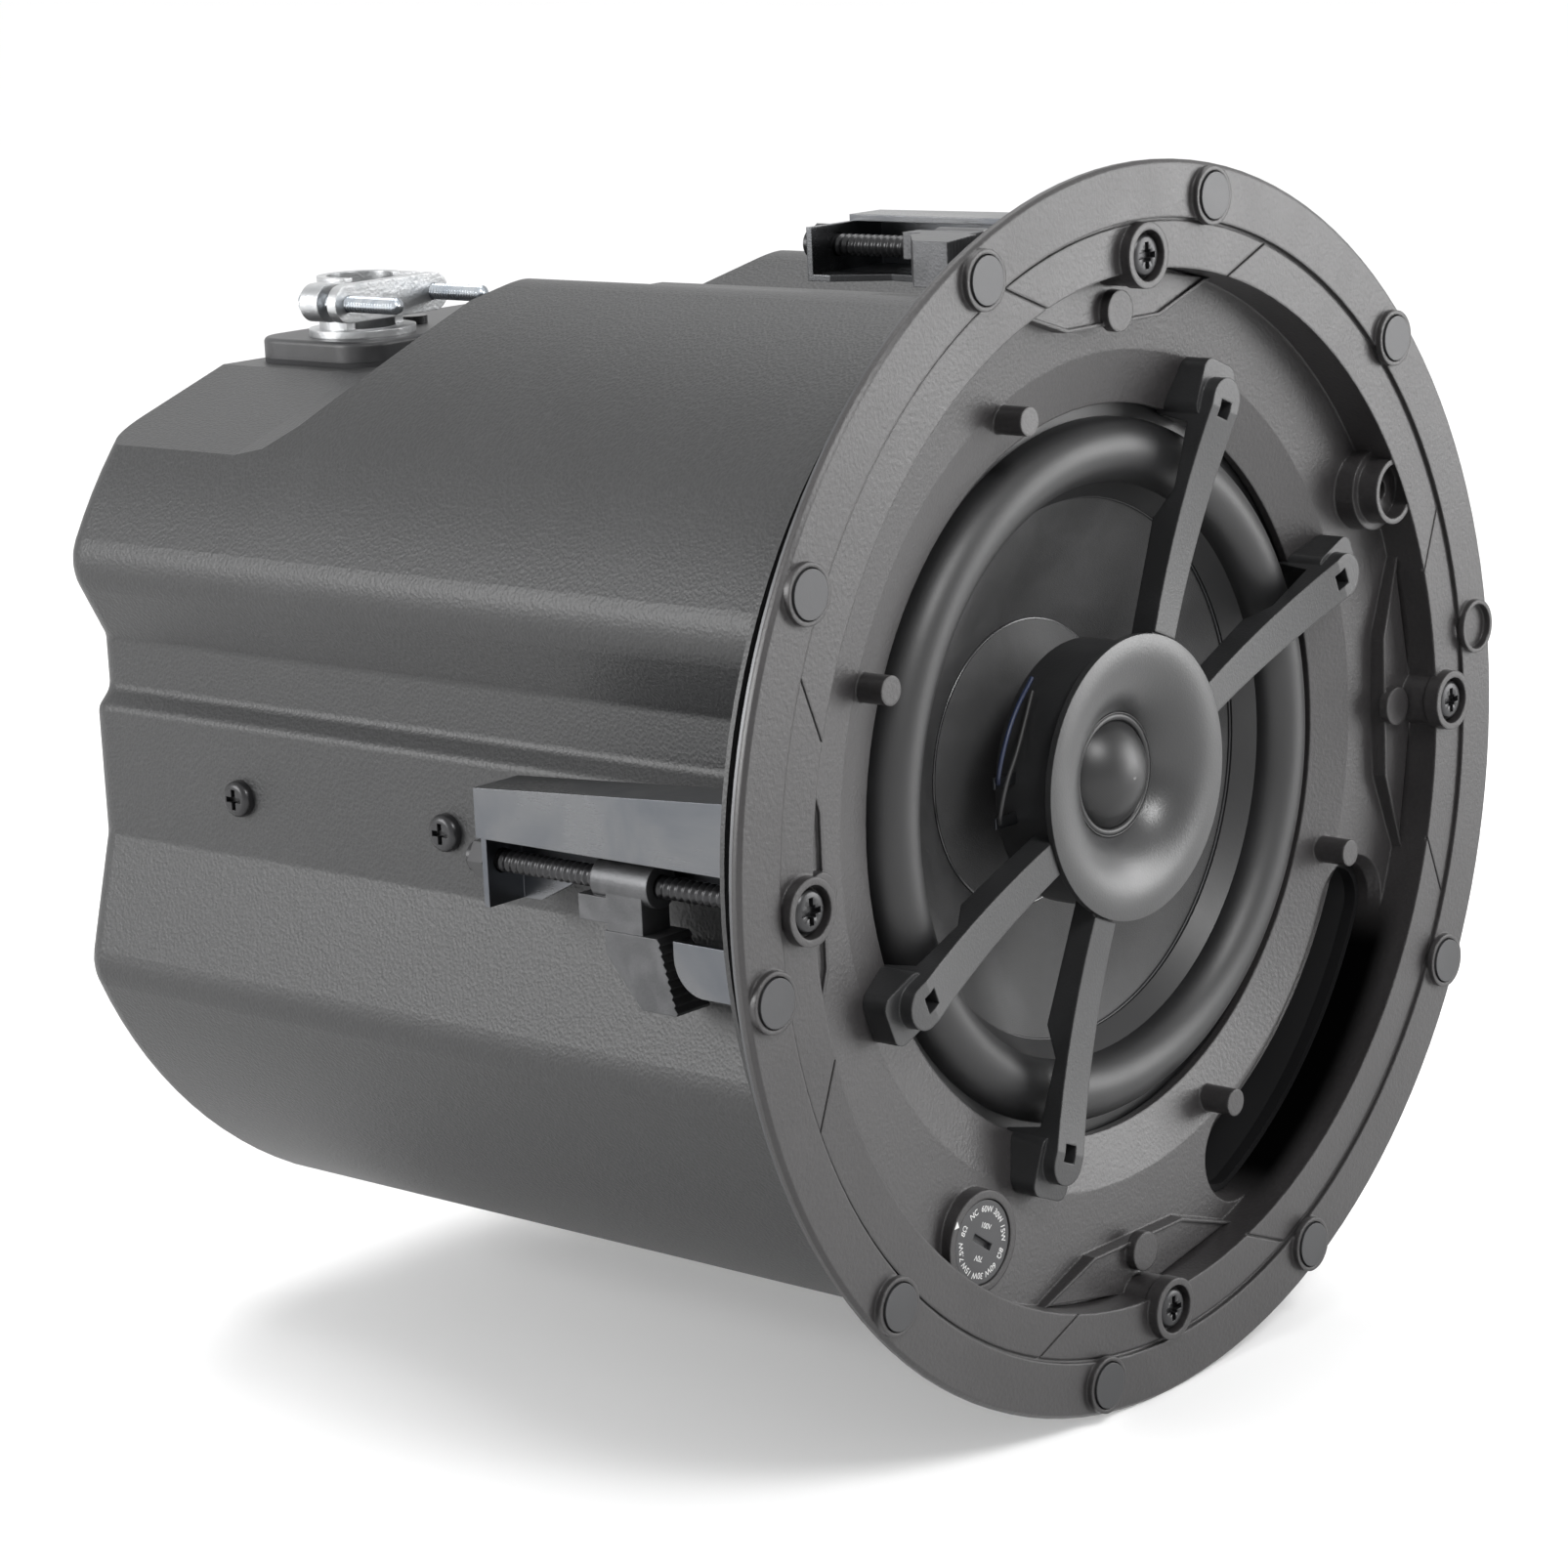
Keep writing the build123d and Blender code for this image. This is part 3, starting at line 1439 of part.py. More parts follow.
board_floor = can_wall - flat_distance
board_middle = board_front + board_length / 2
post_spots = [
    (x, board_middle + side * (board_length / 2 - board_post_inset))
    for x in (-board_post_x, board_post_x)
    for side in (-1, 1)
]
with BuildPart() as board_posts:
    with BuildSketch(Plane.XY.offset(board_floor)):
        with Locations(*post_spots):
            Circle(board_post_radius)
    extrude(amount=board_height - board_floor)
export(board_posts.part, "board_posts")

with BuildPart() as crossover_board:
    with BuildSketch(Plane.XY.offset(board_height)):
        with Locations((0, board_middle)):
            Rectangle(2 * board_half_width, board_length)
    extrude(amount=board_thickness)
export(crossover_board.part, "crossover_board")

board_top = board_height + board_thickness
with BuildPart() as inductor:
    with BuildSketch(Plane.XY.offset(board_top)):
        with Locations((-board_half_width / 2, board_front + inductor_radius + 2)):
            Circle(inductor_radius)
            Circle(inductor_bore, mode=Mode.SUBTRACT)
    extrude(amount=inductor_height)
export(inductor.part, "inductor")

with BuildPart() as capacitors:
    with BuildSketch(front_plane(board_middle + capacitor_length)):
        with Locations(
            (-board_half_width / 2, board_top + capacitor_radius),
            (board_half_width / 2, board_top + capacitor_radius),
        ):
            Circle(capacitor_radius)
    extrude(amount=capacitor_length)
export(capacitors.part, "capacitors")

with BuildPart() as wadding:
    with BuildSketch(front_plane(can_rear - can_wall)):
        Circle(wadding_radius)
    extrude(amount=wadding_thickness)
export(wadding.part, "wadding")


# Terminal cover, its block and the cable clamp

with BuildPart() as cover_gasket:
    with BuildSketch(Plane.XY.offset(recess_floor)):
        with Locations((0, cover_y)):
            RectangleRounded(2 * cover_half_length, cover_rear - cover_front, cover_corner)
            RectangleRounded(
                2 * (cover_half_length - cover_gasket_width),
                cover_rear - cover_front - 2 * cover_gasket_width,
                cover_corner - cover_gasket_width,
                mode=Mode.SUBTRACT,
            )
    extrude(amount=cover_gasket_thickness)
export(cover_gasket.part, "cover_gasket")

with BuildPart() as terminal_cover:
    with BuildSketch(Plane.XY.offset(cover_foot)):
        with Locations((0, cover_y)):
            RectangleRounded(2 * cover_half_length, cover_rear - cover_front, cover_corner)
    extrude(amount=cover_height)
    fillet(terminal_cover.faces().sort_by(Axis.Z)[-1].edges(), radius=cover_edge_round)
    with BuildSketch(Plane.XY.offset(cover_foot)):
        with Locations((0, cover_y)):
            RectangleRounded(
                2 * (cover_half_length - cover_wall),
                cover_rear - cover_front - 2 * cover_wall,
                cover_corner - cover_wall,
            )
    extrude(amount=cover_height - cover_wall, mode=Mode.SUBTRACT)
    with BuildSketch(Plane.XY.offset(cover_foot)):
        with Locations((cable_x, cable_y)):
            Circle(knockout_radius)
        with Locations(*[(x, cover_y) for x in cover_screw_xs]):
            Circle(cover_screw_radius + 0.2)
    extrude(amount=cover_height, mode=Mode.SUBTRACT)
export(terminal_cover.part, "terminal_cover")

with BuildPart() as cover_screws:
    with BuildSketch(Plane.XY.offset(cover_top)):
        with Locations(*[(x, cover_y) for x in cover_screw_xs]):
            Circle(cover_screw_head)
    extrude(amount=cover_screw_head_height)
    with BuildSketch(Plane.XY.offset(cover_top)):
        with Locations(*[(x, cover_y) for x in cover_screw_xs]):
            Circle(cover_screw_radius)
    extrude(amount=-cover_screw_length)
export(cover_screws.part, "cover_screws")

with BuildPart() as terminal_block:
    with BuildSketch(Plane.XY.offset(recess_floor)):
        with Locations((block_x, cover_y)):
            Rectangle(
                2 * (block_half_length - 0.3),
                2 * (block_half_width - 0.3),
            )
    extrude(amount=-block_depth)
    with BuildSketch(Plane.XY.offset(recess_floor)):
        with Locations((block_x, cover_y)):
            Rectangle(
                2 * (block_half_length + block_rim),
                2 * (block_half_width + block_rim),
            )
    extrude(amount=cover_gasket_thickness)
export(terminal_block.part, "terminal_block")

with BuildPart() as cable_clamp_body:
    with BuildSketch(Plane.XY.offset(cover_top)):
        with Locations((cable_x, cable_y)):
            Circle(clamp_disc_radius)
    extrude(amount=clamp_disc_thickness)
    with BuildSketch(Plane.XY.offset(cover_foot)):
        with Locations((cable_x, cable_y)):
            Circle(clamp_barrel_radius)
    extrude(amount=clamp_seat - cover_foot)
    with BuildSketch(Plane.XY.offset(clamp_seat)):
        with Locations((cable_x, cable_y)):
            Circle(clamp_barrel_radius)
        with Locations((cable_x, ear_front - clamp_barrel_radius)):
            Rectangle(
                4 * clamp_barrel_radius,
                2 * clamp_barrel_radius,
                mode=Mode.SUBTRACT,
            )
    extrude(amount=clamp_body_height)
    with BuildSketch(front_plane(ear_rear)):
        with Locations((cable_x, ear_height)):
            Rectangle(ear_spacing, 2 * ear_radius)
        for side in (-1, 1):
            with Locations((cable_x + side * ear_spacing / 2, ear_height)):
                Circle(ear_radius)
    extrude(amount=ear_rear - ear_front)
    with BuildSketch(Plane.XY.offset(cover_foot)):
        with Locations((cable_x, cable_y)):
            Circle(throat_radius)
    extrude(amount=clamp_seat + clamp_body_height - cover_foot, mode=Mode.SUBTRACT)
    with BuildSketch(front_plane(ear_rear)):
        for side in (-1, 1):
            with Locations((cable_x + side * ear_spacing / 2, ear_height)):
                Circle(squeeze_screw_radius)
    extrude(amount=ear_rear - ear_front, mode=Mode.SUBTRACT)
export(cable_clamp_body.part, "cable_clamp_body")

with BuildPart() as cable_clamp_saddle:
    with BuildSketch(front_plane(saddle_rear)):
        with Locations((cable_x, ear_height)):
            Rectangle(ear_spacing, 2 * ear_radius)
        for side in (-1, 1):
            with Locations((cable_x + side * ear_spacing / 2, ear_height)):
                Circle(ear_radius)
        for side in (-1, 1):
            with Locations((cable_x + side * ear_spacing / 2, ear_height)):
                Circle(squeeze_screw_radius, mode=Mode.SUBTRACT)
    extrude(amount=saddle_thickness)
export(cable_clamp_saddle.part, "cable_clamp_saddle")

with BuildPart() as squeeze_screws:
    spots = [(cable_x + side * ear_spacing / 2, ear_height) for side in (-1, 1)]
    with BuildSketch(front_plane(ear_rear + squeeze_head_height)):
        with Locations(*spots):
            Circle(squeeze_head_radius)
    extrude(amount=squeeze_head_height)
    with BuildSketch(front_plane(ear_rear)):
        with Locations(*spots):
            Circle(squeeze_screw_radius)
    extrude(amount=ear_rear - squeeze_screw_tail)
    with BuildSketch(front_plane(ear_rear + squeeze_head_height)):
        with Locations(*spots):
            Rectangle(2 * squeeze_head_radius + 1, 1.2)
    extrude(amount=1.2, mode=Mode.SUBTRACT)
export(squeeze_screws.part, "squeeze_screws")

with BuildPart() as locknut:
    with BuildSketch(Plane.XY.offset(cover_top - cover_wall)):
        with Locations((cable_x, cable_y)):
            RegularPolygon(locknut_radius, 8, major_radius=False)
            Circle(clamp_barrel_radius, mode=Mode.SUBTRACT)
    extrude(amount=-locknut_thickness)
export(locknut.part, "locknut")
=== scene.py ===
"""Looks, light and camera of the flush-mount coaxial loudspeaker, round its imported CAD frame."""
import logging
import math
from dataclasses import dataclass
from enum import Enum
from functools import cache, cached_property
from itertools import product

import bmesh
import bpy
from mathutils import Matrix, Vector


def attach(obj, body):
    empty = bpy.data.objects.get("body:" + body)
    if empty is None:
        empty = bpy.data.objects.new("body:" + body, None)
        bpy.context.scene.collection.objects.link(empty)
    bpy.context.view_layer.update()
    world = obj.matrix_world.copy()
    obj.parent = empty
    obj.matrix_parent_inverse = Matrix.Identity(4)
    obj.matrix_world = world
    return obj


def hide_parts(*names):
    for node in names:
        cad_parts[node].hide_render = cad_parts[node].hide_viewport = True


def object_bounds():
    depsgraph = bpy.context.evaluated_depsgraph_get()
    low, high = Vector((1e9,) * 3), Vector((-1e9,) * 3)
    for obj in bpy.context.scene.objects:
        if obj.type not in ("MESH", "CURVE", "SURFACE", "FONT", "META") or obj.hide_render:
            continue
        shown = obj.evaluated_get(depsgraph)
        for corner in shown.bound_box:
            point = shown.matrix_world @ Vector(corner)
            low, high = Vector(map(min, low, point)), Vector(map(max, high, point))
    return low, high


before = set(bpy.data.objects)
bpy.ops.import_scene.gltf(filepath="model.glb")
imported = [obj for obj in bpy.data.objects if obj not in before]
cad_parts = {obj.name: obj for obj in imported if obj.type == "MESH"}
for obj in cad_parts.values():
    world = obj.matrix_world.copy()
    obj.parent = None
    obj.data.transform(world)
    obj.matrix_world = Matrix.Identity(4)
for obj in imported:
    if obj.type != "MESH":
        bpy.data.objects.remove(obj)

log = logging.getLogger("loudspeaker")
MM = 0.001
FIRST_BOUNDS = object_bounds()
Point = tuple[float, float, float]
Spot = tuple[float, float]
Colour = tuple[float, float, float]

# Sizes shared with the solids, in millimetres
DRIVER = (1.2, 3.2)
CLAMP_CIRCLE = 119.75
DIAL = (-56.5, -89.7)
DIAL_FACE = 4.9
POINTER_ANGLE = 145.0

# Mouth of the port: its middle and half its length in degrees, its inner radius in millimetres
PORT_ANGLE = -46.0
PORT_SPREAD = 19.5
PORT_RADIUS = 95.5
# Painted shade inside the port's mouth, which turns the baffle black there: degrees outside and
# inside its ends, millimetres each side of its inner radius, depths along Y, its colour and added
# roughness
PORT_FADE = (3.0, 4.0)
PORT_SOFT = 1.0
PORT_SHADE = (-0.5, 6.5)
PORT_PAINTED_SHADE = (0.002, 0.002, 0.002)
PORT_DULL = 0.3
# Printed ink: thickness and lift off the face in millimetres
INK_THICK = 0.01
INK_LIFT = 0.012
# Turns 1 / size into the angular rate of a wave of that size
WAVE = 6.3
# Noise values between which a surface drifts from one colour to the other
PATCH_LIMITS = (0.35, 0.75)
PATCH_TWIST = 0.6
COAT_ROUGHNESS = 0.15


class Grain(Enum):
    """Kinds of fine relief a surface can have."""

    SATIN = "satin"
    POWDER = "powder"
    FELT = "felt"
    CAST = "cast"
    BRUSHED = "brushed"
    WEAVE = "weave"
    RUBBER = "rubber"
    LAMINATED = "laminated"
    WOUND = "wound"


class Signal:
    """A shader value that Python arithmetic can combine."""

    def __init__(self, graph: "Graph", socket: bpy.types.NodeSocket) -> None:
        """Wraps a socket of a graph."""
        self.graph = graph
        self.socket = socket

    def _math(self, operation: str, *values: "Signal | float", **settings: object) -> "Signal":
        """One maths node over the given values."""
        node = self.graph.node(
            "ShaderNodeMath", {"operation": operation, **settings}, dict(enumerate(values))
        )
        return Signal(self.graph, node.outputs[0])

    def __add__(self, other: "Signal | float") -> "Signal":
        """Sum."""
        return self._math("ADD", self, other)

    __radd__ = __add__

    def __sub__(self, other: "Signal | float") -> "Signal":
        """Difference."""
        return self._math("SUBTRACT", self, other)

    def __rsub__(self, other: float) -> "Signal":
        """Difference from a number."""
        return self._math("SUBTRACT", other, self)

    def __mul__(self, other: "Signal | float") -> "Signal":
        """Product."""
        return self._math("MULTIPLY", self, other)

    __rmul__ = __mul__

    def __truediv__(self, other: "Signal | float") -> "Signal":
        """Quotient."""
        return self._math("DIVIDE", self, other)

    def __rtruediv__(self, other: float) -> "Signal":
        """Quotient of a number by this."""
        return self._math("DIVIDE", other, self)

    def __pow__(self, other: float) -> "Signal":
        """Power."""
        return self._math("POWER", self, other)

    def sine(self) -> "Signal":
        """Sine of the value in radians."""
        return self._math("SINE", self)

    def held(self) -> "Signal":
        """The value held between 0 and 1."""
        return self._math("ADD", self, 0.0, use_clamp=True)

    def step(self, low: float, high: float) -> "Signal":
        """Smooth step from 0 at low to 1 at high."""
        node = self.graph.node(
            "ShaderNodeMapRange",
            {"interpolation_type": "SMOOTHSTEP"},
            {"Value": self, "From Min": low, "From Max": high},
        )
        return Signal(self.graph, node.outputs[0])


class Graph:
    """The node tree of a material or world, written as expressions."""

    def __init__(self, owner: bpy.types.Material | bpy.types.World) -> None:
        """Starts an empty tree in its owner."""
        owner.use_nodes = True
        self.tree = owner.node_tree
        self.tree.nodes.clear()

    @cached_property
    def place(self) -> bpy.types.NodeSocket:
        """Object coordinates in metres."""
        return self.node("ShaderNodeTexCoord").outputs["Object"]

    def node(
        self, kind: str, settings: dict[str, object] | None = None, inputs: dict | None = None
    ) -> bpy.types.Node:
        """Adds a node.

        Args:
            kind: The node's type name.
            settings: Properties to set on it.
            inputs: Values, signals or sockets by input name or number.

        Returns:
            The new node.
        """
        node = self.tree.nodes.new(kind)
        for key, value in (settings or {}).items():
            setattr(node, key, value)
        for key, value in (inputs or {}).items():
            target = node.inputs[key]
            source = value.socket if isinstance(value, Signal) else value
            if isinstance(source, bpy.types.NodeSocket):
                self.tree.links.new(source, target)
            else:
                target.default_value = source
        return node

    def stretched(self, stretch: Point) -> bpy.types.NodeSocket:
        """Object coordinates in millimetres, stretched along the axes."""
        node = self.node(
            "ShaderNodeVectorMath",
            {"operation": "MULTIPLY"},
            {0: self.place, 1: tuple(value / MM for value in stretch)},
        )
        return node.outputs[0]

    def axis(self, name: str) -> Signal:
        """One object coordinate in millimetres."""
        node = self.node("ShaderNodeSeparateXYZ", None, {0: self.stretched((1, 1, 1))})
        return Signal(self, node.outputs[name])

    def noise(
        self, size: float, detail: float = 2.0, stretch: Point = (1, 1, 1), twist: float = 0.0
    ) -> Signal:
        """Noise with features about size millimetres across."""
        node = self.node(
            "ShaderNodeTexNoise",
            None,
            {
                "Vector": self.stretched(stretch),
                "Scale": 1.0 / size,
                "Detail": detail,
                "Distortion": twist,
            },
        )
        return Signal(self, node.outputs[0])

    def cells(self, size: float) -> Signal:
        """Distance to the nearest cell centre, cells about size millimetres across."""
        node = self.node(
            "ShaderNodeTexVoronoi",
            {"feature": "F1"},
            {"Vector": self.stretched((1, 1, 1)), "Scale": 1.0 / size},
        )
        return Signal(self, node.outputs["Distance"])

    def blend(
        self, low: Colour | bpy.types.NodeSocket, high: Colour, amount: Signal
    ) -> bpy.types.NodeSocket:
        """Colour between two others; the first may itself vary."""
        first = (*low, 1.0) if isinstance(low, tuple) else low
        node = self.node(
            "ShaderNodeMix", {"data_type": "RGBA"}, {0: amount, 6: first, 7: (*high, 1.0)}
        )
        return node.outputs[2]

    def bump(self, height: Signal, depth: float, edge: float = 0.0) -> bpy.types.NodeSocket:
        """Normal disturbed by a height.

        Args:
            height: The relief, 0 to about 1.
            depth: Its depth in millimetres.
            edge: Radius in millimetres to which sharp edges are softened.

        Returns:
            The disturbed normal.
        """
        inputs = {"Strength": 1.0, "Distance": depth * MM, "Height": height}
        if edge:
            soft = self.node("ShaderNodeBevel", {"samples": 4}, {"Radius": edge * MM})
            inputs["Normal"] = soft.outputs[0]
        return self.node("ShaderNodeBump", None, inputs).outputs[0]

    def shown(self) -> Signal:
        """1 for what is seen straight, mirrored or through glass, 0 for other paths of light."""
        path = self.node("ShaderNodeLightPath")
        camera, glossy, through = (
            Signal(self, path.outputs[f"Is {kind} Ray"])
            for kind in ("Camera", "Glossy", "Transmission")
        )
        return (camera + glossy + through).held()

    def surface(self, inputs: dict[str, object]) -> None:
        """Closes the tree of a material with a principled surface."""
        shader = self.node("ShaderNodeBsdfPrincipled", None, inputs)
        self.node("ShaderNodeOutputMaterial", None, {"Surface": shader.outputs[0]})


@dataclass(frozen=True)
class Finish:
    """A surface finish: colour, gloss and fine relief.

    Attributes:
        name: Name of the material.
        colour: Base colour.
        roughness: Mean roughness.
        grain: Kind of relief.
        size: Size of the relief's features in millimetres.
        depth: Depth of the relief in millimetres.
        metallic: 1 for bare metal.
        second: Colour that patches drift towards.
        drift: How far they drift.
        patch: Size of the patches in millimetres.
        speckle: How far the fine relief shifts the colour.
        wear: How far roughness wanders with the patches.
        coat: Weight of a clear coat.
        specular: Specular level of the surface.
        edge: Radius of its softened edges in millimetres.
        port: Whether painted shade turns it black inside the mouth of the port.
    """

    name: str
    colour: Colour
    roughness: float
    grain: Grain
    size: float = 0.5
    depth: float = 0.02
    metallic: float = 0.0
    second: Colour = (0.08, 0.08, 0.085)
    drift: float = 0.25
    patch: float = 30.0
    speckle: float = 0.12
    wear: float = 0.08
    coat: float = 0.0
    specular: float = 0.5
    edge: float = 0.0
    port: bool = False

    def relief(self, graph: Graph) -> Signal:
        """Height of the fine relief, 0 to about 1."""
        if self.grain is Grain.POWDER:
            return graph.cells(self.size) * 0.6 + graph.noise(self.size * 0.6, 3) * 0.6
        if self.grain is Grain.FELT:
            fibres = graph.noise(self.size, 4, (1, 1, 1), 1.5)
            return fibres * 0.6 + graph.noise(self.size * 0.35, 2) * 0.5
        if self.grain is Grain.CAST:
            return graph.noise(self.size, 4) * 0.7 + graph.cells(self.size * 1.6) * 0.4
        if self.grain is Grain.BRUSHED:
            return graph.noise(self.size, 3, (1.0, 0.04, 1.0)) * 0.8 + graph.noise(12, 2) * 0.1
        if self.grain is Grain.WEAVE:
            waves = (graph.axis("X") * (WAVE / self.size)).sine()
            return (waves * (graph.axis("Z") * (WAVE / self.size)).sine()) * 0.5 + 0.5
        if self.grain is Grain.LAMINATED:
            return (graph.axis("X") * (WAVE / self.size)).sine() * 0.5 + graph.noise(3) * 0.3
        if self.grain is Grain.WOUND:
            rows = (graph.axis("Y") + graph.axis("Z") * 0.02) * (WAVE / self.size)
            return rows.sine() * 0.5 + 0.5
        if self.grain is Grain.RUBBER:
            return graph.noise(self.size, 2) * 0.5 + graph.noise(self.size * 8, 1) * 0.3
        return graph.noise(self.size, 3) * 0.8 + graph.cells(self.size * 1.5) * 0.2

    @staticmethod
    def port_painted_shade(graph: Graph) -> Signal:
        """Mask of the painted shade in the port's mouth: 0 outside it, 1 well inside it."""
        x, depth, z = (graph.axis(name) for name in "XYZ")
        turn = math.radians(PORT_ANGLE)
        radius = (x * x + z * z) ** 0.5
        towards = (x * math.cos(turn) + z * math.sin(turn)) / radius
        outside = math.cos(math.radians(PORT_SPREAD + PORT_FADE[0]))
        inside = math.cos(math.radians(PORT_SPREAD - PORT_FADE[1]))
        along = towards.step(outside, inside)
        across = radius.step(PORT_RADIUS - PORT_SOFT, PORT_RADIUS + PORT_SOFT)
        return along * across * depth.step(*PORT_SHADE)

    @cache
    def material(self) -> bpy.types.Material:
        """The finish as a material, built once."""
        material = bpy.data.materials.new(f"{self.name}_finish")
        graph = Graph(material)
        relief = self.relief(graph)
        patches = graph.noise(self.patch, 4, (1, 1, 1), PATCH_TWIST)
        drifted = patches.step(*PATCH_LIMITS)
        tone = (drifted * self.drift + relief * self.speckle).held()
        rough = (patches - 0.5) * (2 * self.wear) + relief * self.wear + self.roughness
        colour = graph.blend(self.colour, self.second, tone)
        metallic: Signal | float = self.metallic
        # Painted shade: inside the port's mouth the colour goes black and the surface fully
        # metallic, so it reflects almost nothing
        if self.port:
            metallic = self.port_painted_shade(graph)
            colour = graph.blend(colour, PORT_PAINTED_SHADE, metallic)
            rough = rough + metallic * PORT_DULL
        graph.surface(
            {
                "Base Color": colour,
                "Roughness": rough.held(),
                "Metallic": metallic,
                "Coat Weight": self.coat,
                "Coat Roughness": COAT_ROUGHNESS,
                "Specular IOR Level": self.specular,
                "Normal": graph.bump(relief, self.depth, self.edge),
            }
        )
        return material


@dataclass(frozen=True)
class Palette:
    """Every finish of the loudspeaker."""

    # The baffle carries painted shade inside the mouth of the port (port=True).
    baffle: Finish = Finish(
        "baffle_plastic", (0.0165, 0.0152, 0.0156), 0.34, Grain.SATIN, 0.8, 0.08,
        second=(0.046, 0.0435, 0.0445), drift=0.15, speckle=0.55, edge=0.7, port=True,
    )
    bridge: Finish = Finish(
        "bridge_plastic", (0.014, 0.0142, 0.0148), 0.34, Grain.SATIN, 0.6, 0.05,
        second=(0.036, 0.0365, 0.038), drift=0.4, edge=0.6,
    )
    flare: Finish = Finish(
        "flare_plastic", (0.02, 0.0202, 0.0207), 0.3, Grain.SATIN, 0.5, 0.04,
        second=(0.04, 0.0405, 0.042), drift=0.4, specular=0.6, edge=0.3,
    )
    duct: Finish = Finish(
        "duct_plastic", (0.004, 0.004, 0.0045), 0.6, Grain.SATIN, 0.5, 0.02,
        second=(0.008, 0.008, 0.0085), specular=0.2,
    )
    can: Finish = Finish(
        "can_powder", (0.011, 0.0112, 0.0116), 0.42, Grain.POWDER, 0.9, 0.12,
        second=(0.044, 0.0445, 0.0455), drift=0.1, patch=60, speckle=0.6, wear=0.03,
        specular=0.42,
    )
    ring: Finish = Finish(
        "ring_plating", (0.08, 0.081, 0.084), 0.4, Grain.BRUSHED, 0.4, 0.006,
        metallic=0.8, second=(0.16, 0.162, 0.168), edge=0.2,
    )
    gasket: Finish = Finish("gasket_foam", (0.008, 0.008, 0.009), 0.85, Grain.CAST, 0.5, 0.08)
    bracket: Finish = Finish(
        "bracket_plating", (0.12, 0.122, 0.126), 0.25, Grain.BRUSHED, 0.3, 0.012,
        metallic=1.0, second=(0.055, 0.062, 0.075), drift=0.6, patch=26, wear=0.1, edge=0.3,
    )
    black_steel: Finish = Finish(
        "black_screw", (0.02, 0.02, 0.021), 0.28, Grain.CAST, 0.4, 0.012,
        metallic=0.5, second=(0.05, 0.05, 0.055), edge=0.15,
    )
    cast: Finish = Finish(
        "dog_casting", (0.055, 0.056, 0.058), 0.38, Grain.CAST, 0.5, 0.05,
        metallic=0.75, second=(0.13, 0.13, 0.135), drift=0.4, patch=8, edge=0.4,
    )
    magnet: Finish = Finish(
        "magnet_face", (0.026, 0.0265, 0.028), 0.36, Grain.SATIN, 0.5, 0.016,
        metallic=0.2, edge=0.3,
    )
    rubber: Finish = Finish(
        "surround_rubber", (0.01, 0.01, 0.0105), 0.42, Grain.RUBBER, 0.6, 0.03,
        second=(0.02, 0.02, 0.021), specular=0.5,
    )
    paper: Finish = Finish(
        "cone_felt", (0.028, 0.028, 0.0285), 0.6, Grain.FELT, 0.6, 0.12,
        second=(0.075, 0.075, 0.077), drift=0.45, patch=14, specular=0.5,
    )
    cap: Finish = Finish(
        "cap_felt", (0.036, 0.036, 0.0365), 0.62, Grain.FELT, 0.6, 0.12,
        second=(0.07, 0.07, 0.072), drift=0.45, patch=14, specular=0.5,
    )
    glue: Finish = Finish(
        "glue_line", (0.01, 0.01, 0.011), 0.24, Grain.RUBBER, 1.2, 0.05, coat=0.4,
    )
    seam: Finish = Finish("seam_line", (0.008, 0.008, 0.009), 0.45, Grain.RUBBER, 1.2, 0.05)
    dome: Finish = Finish(
        "dome_fabric", (0.005, 0.005, 0.0054), 0.36, Grain.WEAVE, 0.5, 0.01,
        second=(0.01, 0.01, 0.011), specular=0.5,
    )
    copper: Finish = Finish(
        "copper_winding", (0.5, 0.22, 0.09), 0.35, Grain.WOUND, 0.6, 0.08,
        metallic=0.9, second=(0.35, 0.12, 0.05),
    )
    cloth: Finish = Finish(
        "spider_cloth", (0.3, 0.18, 0.06), 0.8, Grain.WEAVE, 0.9, 0.06,
        second=(0.2, 0.11, 0.04),
    )
    painted: Finish = Finish(
        "basket_paint", (0.015, 0.015, 0.016), 0.4, Grain.POWDER, 0.8, 0.02,
    )
    steel: Finish = Finish(
        "motor_plating", (0.5, 0.5, 0.5), 0.32, Grain.BRUSHED, 0.6, 0.01,
        metallic=1.0, second=(0.4, 0.38, 0.3),
    )
    ferrite: Finish = Finish("ferrite", (0.03, 0.03, 0.032), 0.55, Grain.CAST, 0.6, 0.03)
    laminations: Finish = Finish(
        "laminations", (0.12, 0.11, 0.1), 0.45, Grain.LAMINATED, 0.7, 0.1,
        metallic=0.8, second=(0.2, 0.12, 0.06),
    )
    board: Finish = Finish(
        "circuit_board", (0.01, 0.09, 0.03), 0.35, Grain.SATIN, 1.5, 0.02, coat=0.4,
    )
    nylon: Finish = Finish(
        "black_nylon", (0.013, 0.013, 0.014), 0.4, Grain.SATIN, 0.35, 0.018, edge=0.4,
    )
    sleeve: Finish = Finish(
        "capacitor_sleeve", (0.01, 0.02, 0.08), 0.25, Grain.SATIN, 2.0, 0.01, coat=0.5,
    )
    fibre: Finish = Finish(
        "wadding_fibre", (0.6, 0.6, 0.57), 0.95, Grain.FELT, 1.5, 0.8,
        second=(0.75, 0.75, 0.72),
    )
    zinc: Finish = Finish(
        "zinc_casting", (0.48, 0.485, 0.49), 0.34, Grain.CAST, 0.7, 0.07,
        metallic=1.0, second=(0.3, 0.31, 0.32), drift=0.6, patch=6, edge=0.4,
    )
    zinc_screw: Finish = Finish(
        "zinc_screw", (0.55, 0.58, 0.61), 0.2, Grain.CAST, 0.5, 0.01,
        metallic=1.0, second=(0.32, 0.37, 0.43), drift=0.6, patch=4, edge=0.1,
    )
    terminal: Finish = Finish(
        "terminal_plastic", (0.02, 0.16, 0.05), 0.4, Grain.SATIN, 0.6, 0.02,
    )
